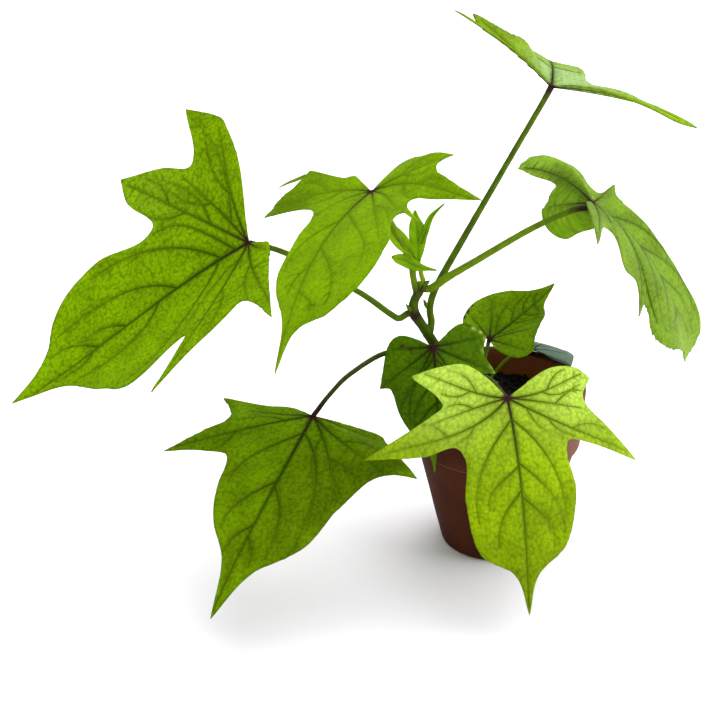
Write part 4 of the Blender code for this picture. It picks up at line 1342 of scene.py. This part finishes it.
# Each young blade: how many degrees its halves are folded up, and its stations.
YOUNG_BLADES = (
    ("upright", 10, ((-25.6, -2.5, 95.2, 0.45), (-25.7, -2.6, 98.2, 1.0),
        (-25.6, -2.8, 101.1, 1.7), (-25.8, -2.9, 104.7, 2.6), (-26.1, -3.1, 107.6, 2.5),
        (-26.5, -3.2, 109.9, 2.0), (-26.7, -3.4, 112.2, 1.0), (-26.8, -3.5, 114.1, 0.25))),
    ("finger", 12, ((-24.9, -3.2, 103.2, 0.9), (-23.9, -3.4, 106.8, 1.1),
        (-22.9, -3.5, 110.0, 0.95), (-22.0, -3.7, 112.2, 0.8), (-20.4, -3.8, 114.1, 0.45),
        (-18.2, -4.0, 116.4, 0.2))),
    ("sloping", 38, ((-26.3, -3.6, 97.9, 0.4), (-27.8, -4.2, 100.7, 1.1),
        (-30.3, -4.7, 104.0, 1.9), (-32.4, -5.3, 106.9, 2.0), (-34.0, -5.8, 109.4, 1.4),
        (-35.7, -6.4, 112.1, 0.3))),
    ("level", 16, ((-33.7, -6.6, 100.6, 0.25), (-32.3, -6.1, 99.9, 1.3),
        (-29.9, -5.6, 99.0, 1.8), (-27.5, -5.1, 97.5, 1.7), (-25.1, -4.6, 96.3, 1.2),
        (-22.7, -4.1, 95.6, 0.6), (-20.0, -3.6, 94.9, 0.2))),
)
YOUNG_ACROSS = 8                       # faces across a young blade
YOUNG_THICK = 0.40
YOUNG_FACING = (0, -1, 0.35)           # the way the open fold of every young blade looks
CENTRE_REACH = 0.28                    # millimetres that the midrib's darker line runs


def young_finish():
    mat, shader, start, place = new_finish("young_green")
    mottle = place.noise(220.0, 3.0)
    centre, = start.kept("centre")
    ground = mottle.ramp(0.3, 0.7).blend((0.14, 0.27, 0.001), (0.24, 0.41, 0.002))
    colour = (centre * 0.75).blend(ground, (0.07, 0.15, 0.002))
    feed(shader, Base_Color=colour, Roughness=0.5,
         Normal=bump(place.noise(900.0), 0.2, 0.0001), Specular_IOR_Level=0.05)
    shine_through(shader, start, 0.30, (0.45, 0.75, 0.002))
    return mat


young_green = young_finish()


def young_blade(name, fold, stations):
    """A narrow blade folded along its midrib; its outline is the stations' half widths."""
    path = smooth_path(stations, 0.7)
    rows = len(path)
    select_none()
    bpy.ops.mesh.primitive_grid_add(x_subdivisions=YOUNG_ACROSS, y_subdivisions=rows - 1, size=1.0)
    piece = bpy.context.active_object
    facing = Vector(YOUNG_FACING)
    places, centre = [], []
    for i, point in enumerate(path):
        along = (path[min(i + 1, rows - 1)].xyz - path[max(i - 1, 0)].xyz).normalized()
        face = (facing - facing.dot(along) * along).normalized()
        side = face.cross(along)
        for j in range(YOUNG_ACROSS + 1):
            out = 2 * j / YOUNG_ACROSS - 1
            rise = math.radians(fold) * (1 - 0.35 * abs(out))
            reach = out * point.w / math.cos(math.radians(fold))
            crimp = 0.10 * point.w * math.sin(i * 0.9 + j) * abs(out)
            places.append(point.xyz - side * reach * math.cos(rise)
                          + face * (abs(reach) * math.sin(rise) + crimp))
            centre.append(math.exp(-(reach / CENTRE_REACH) ** 2))
    piece.data.vertices.foreach_set("co", (np.array(places) * MM).ravel())
    keep_values(piece, "centre", centre)
    thicken = piece.modifiers.new("thickness", "SOLIDIFY")
    thicken.thickness = YOUNG_THICK * MM
    thicken.offset = 0.0
    bpy.ops.object.modifier_apply(modifier=thicken.name)
    round_off = piece.modifiers.new("round_off", "SUBSURF")
    round_off.levels = round_off.render_levels = 1
    bpy.ops.object.modifier_apply(modifier=round_off.name)
    piece.data.materials.append(young_green)
    smooth(piece, 60.0)
    piece.name = name
    return piece


tuft = [young_blade("young_" + name, fold, stations) for name, fold, stations in YOUNG_BLADES]
tuft.append(limb("shoot", SHOOT, ((0, 0.3), (0.3, 0), (1, 0)), ((0, 0.7), (1, 0.9))))
keep_as(join_all(tuft), "young_leaf_tuft", "bright_leaf", "young_leaves")

# %% [markdown]
# Last, the faces that are shown are counted and printed.

# %% Faces shown
select_none()
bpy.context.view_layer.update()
total = sum(len(o.data.polygons) for o in bpy.context.scene.objects
            if o.type == "MESH" and not o.hide_render)
print("faces shown:", total)
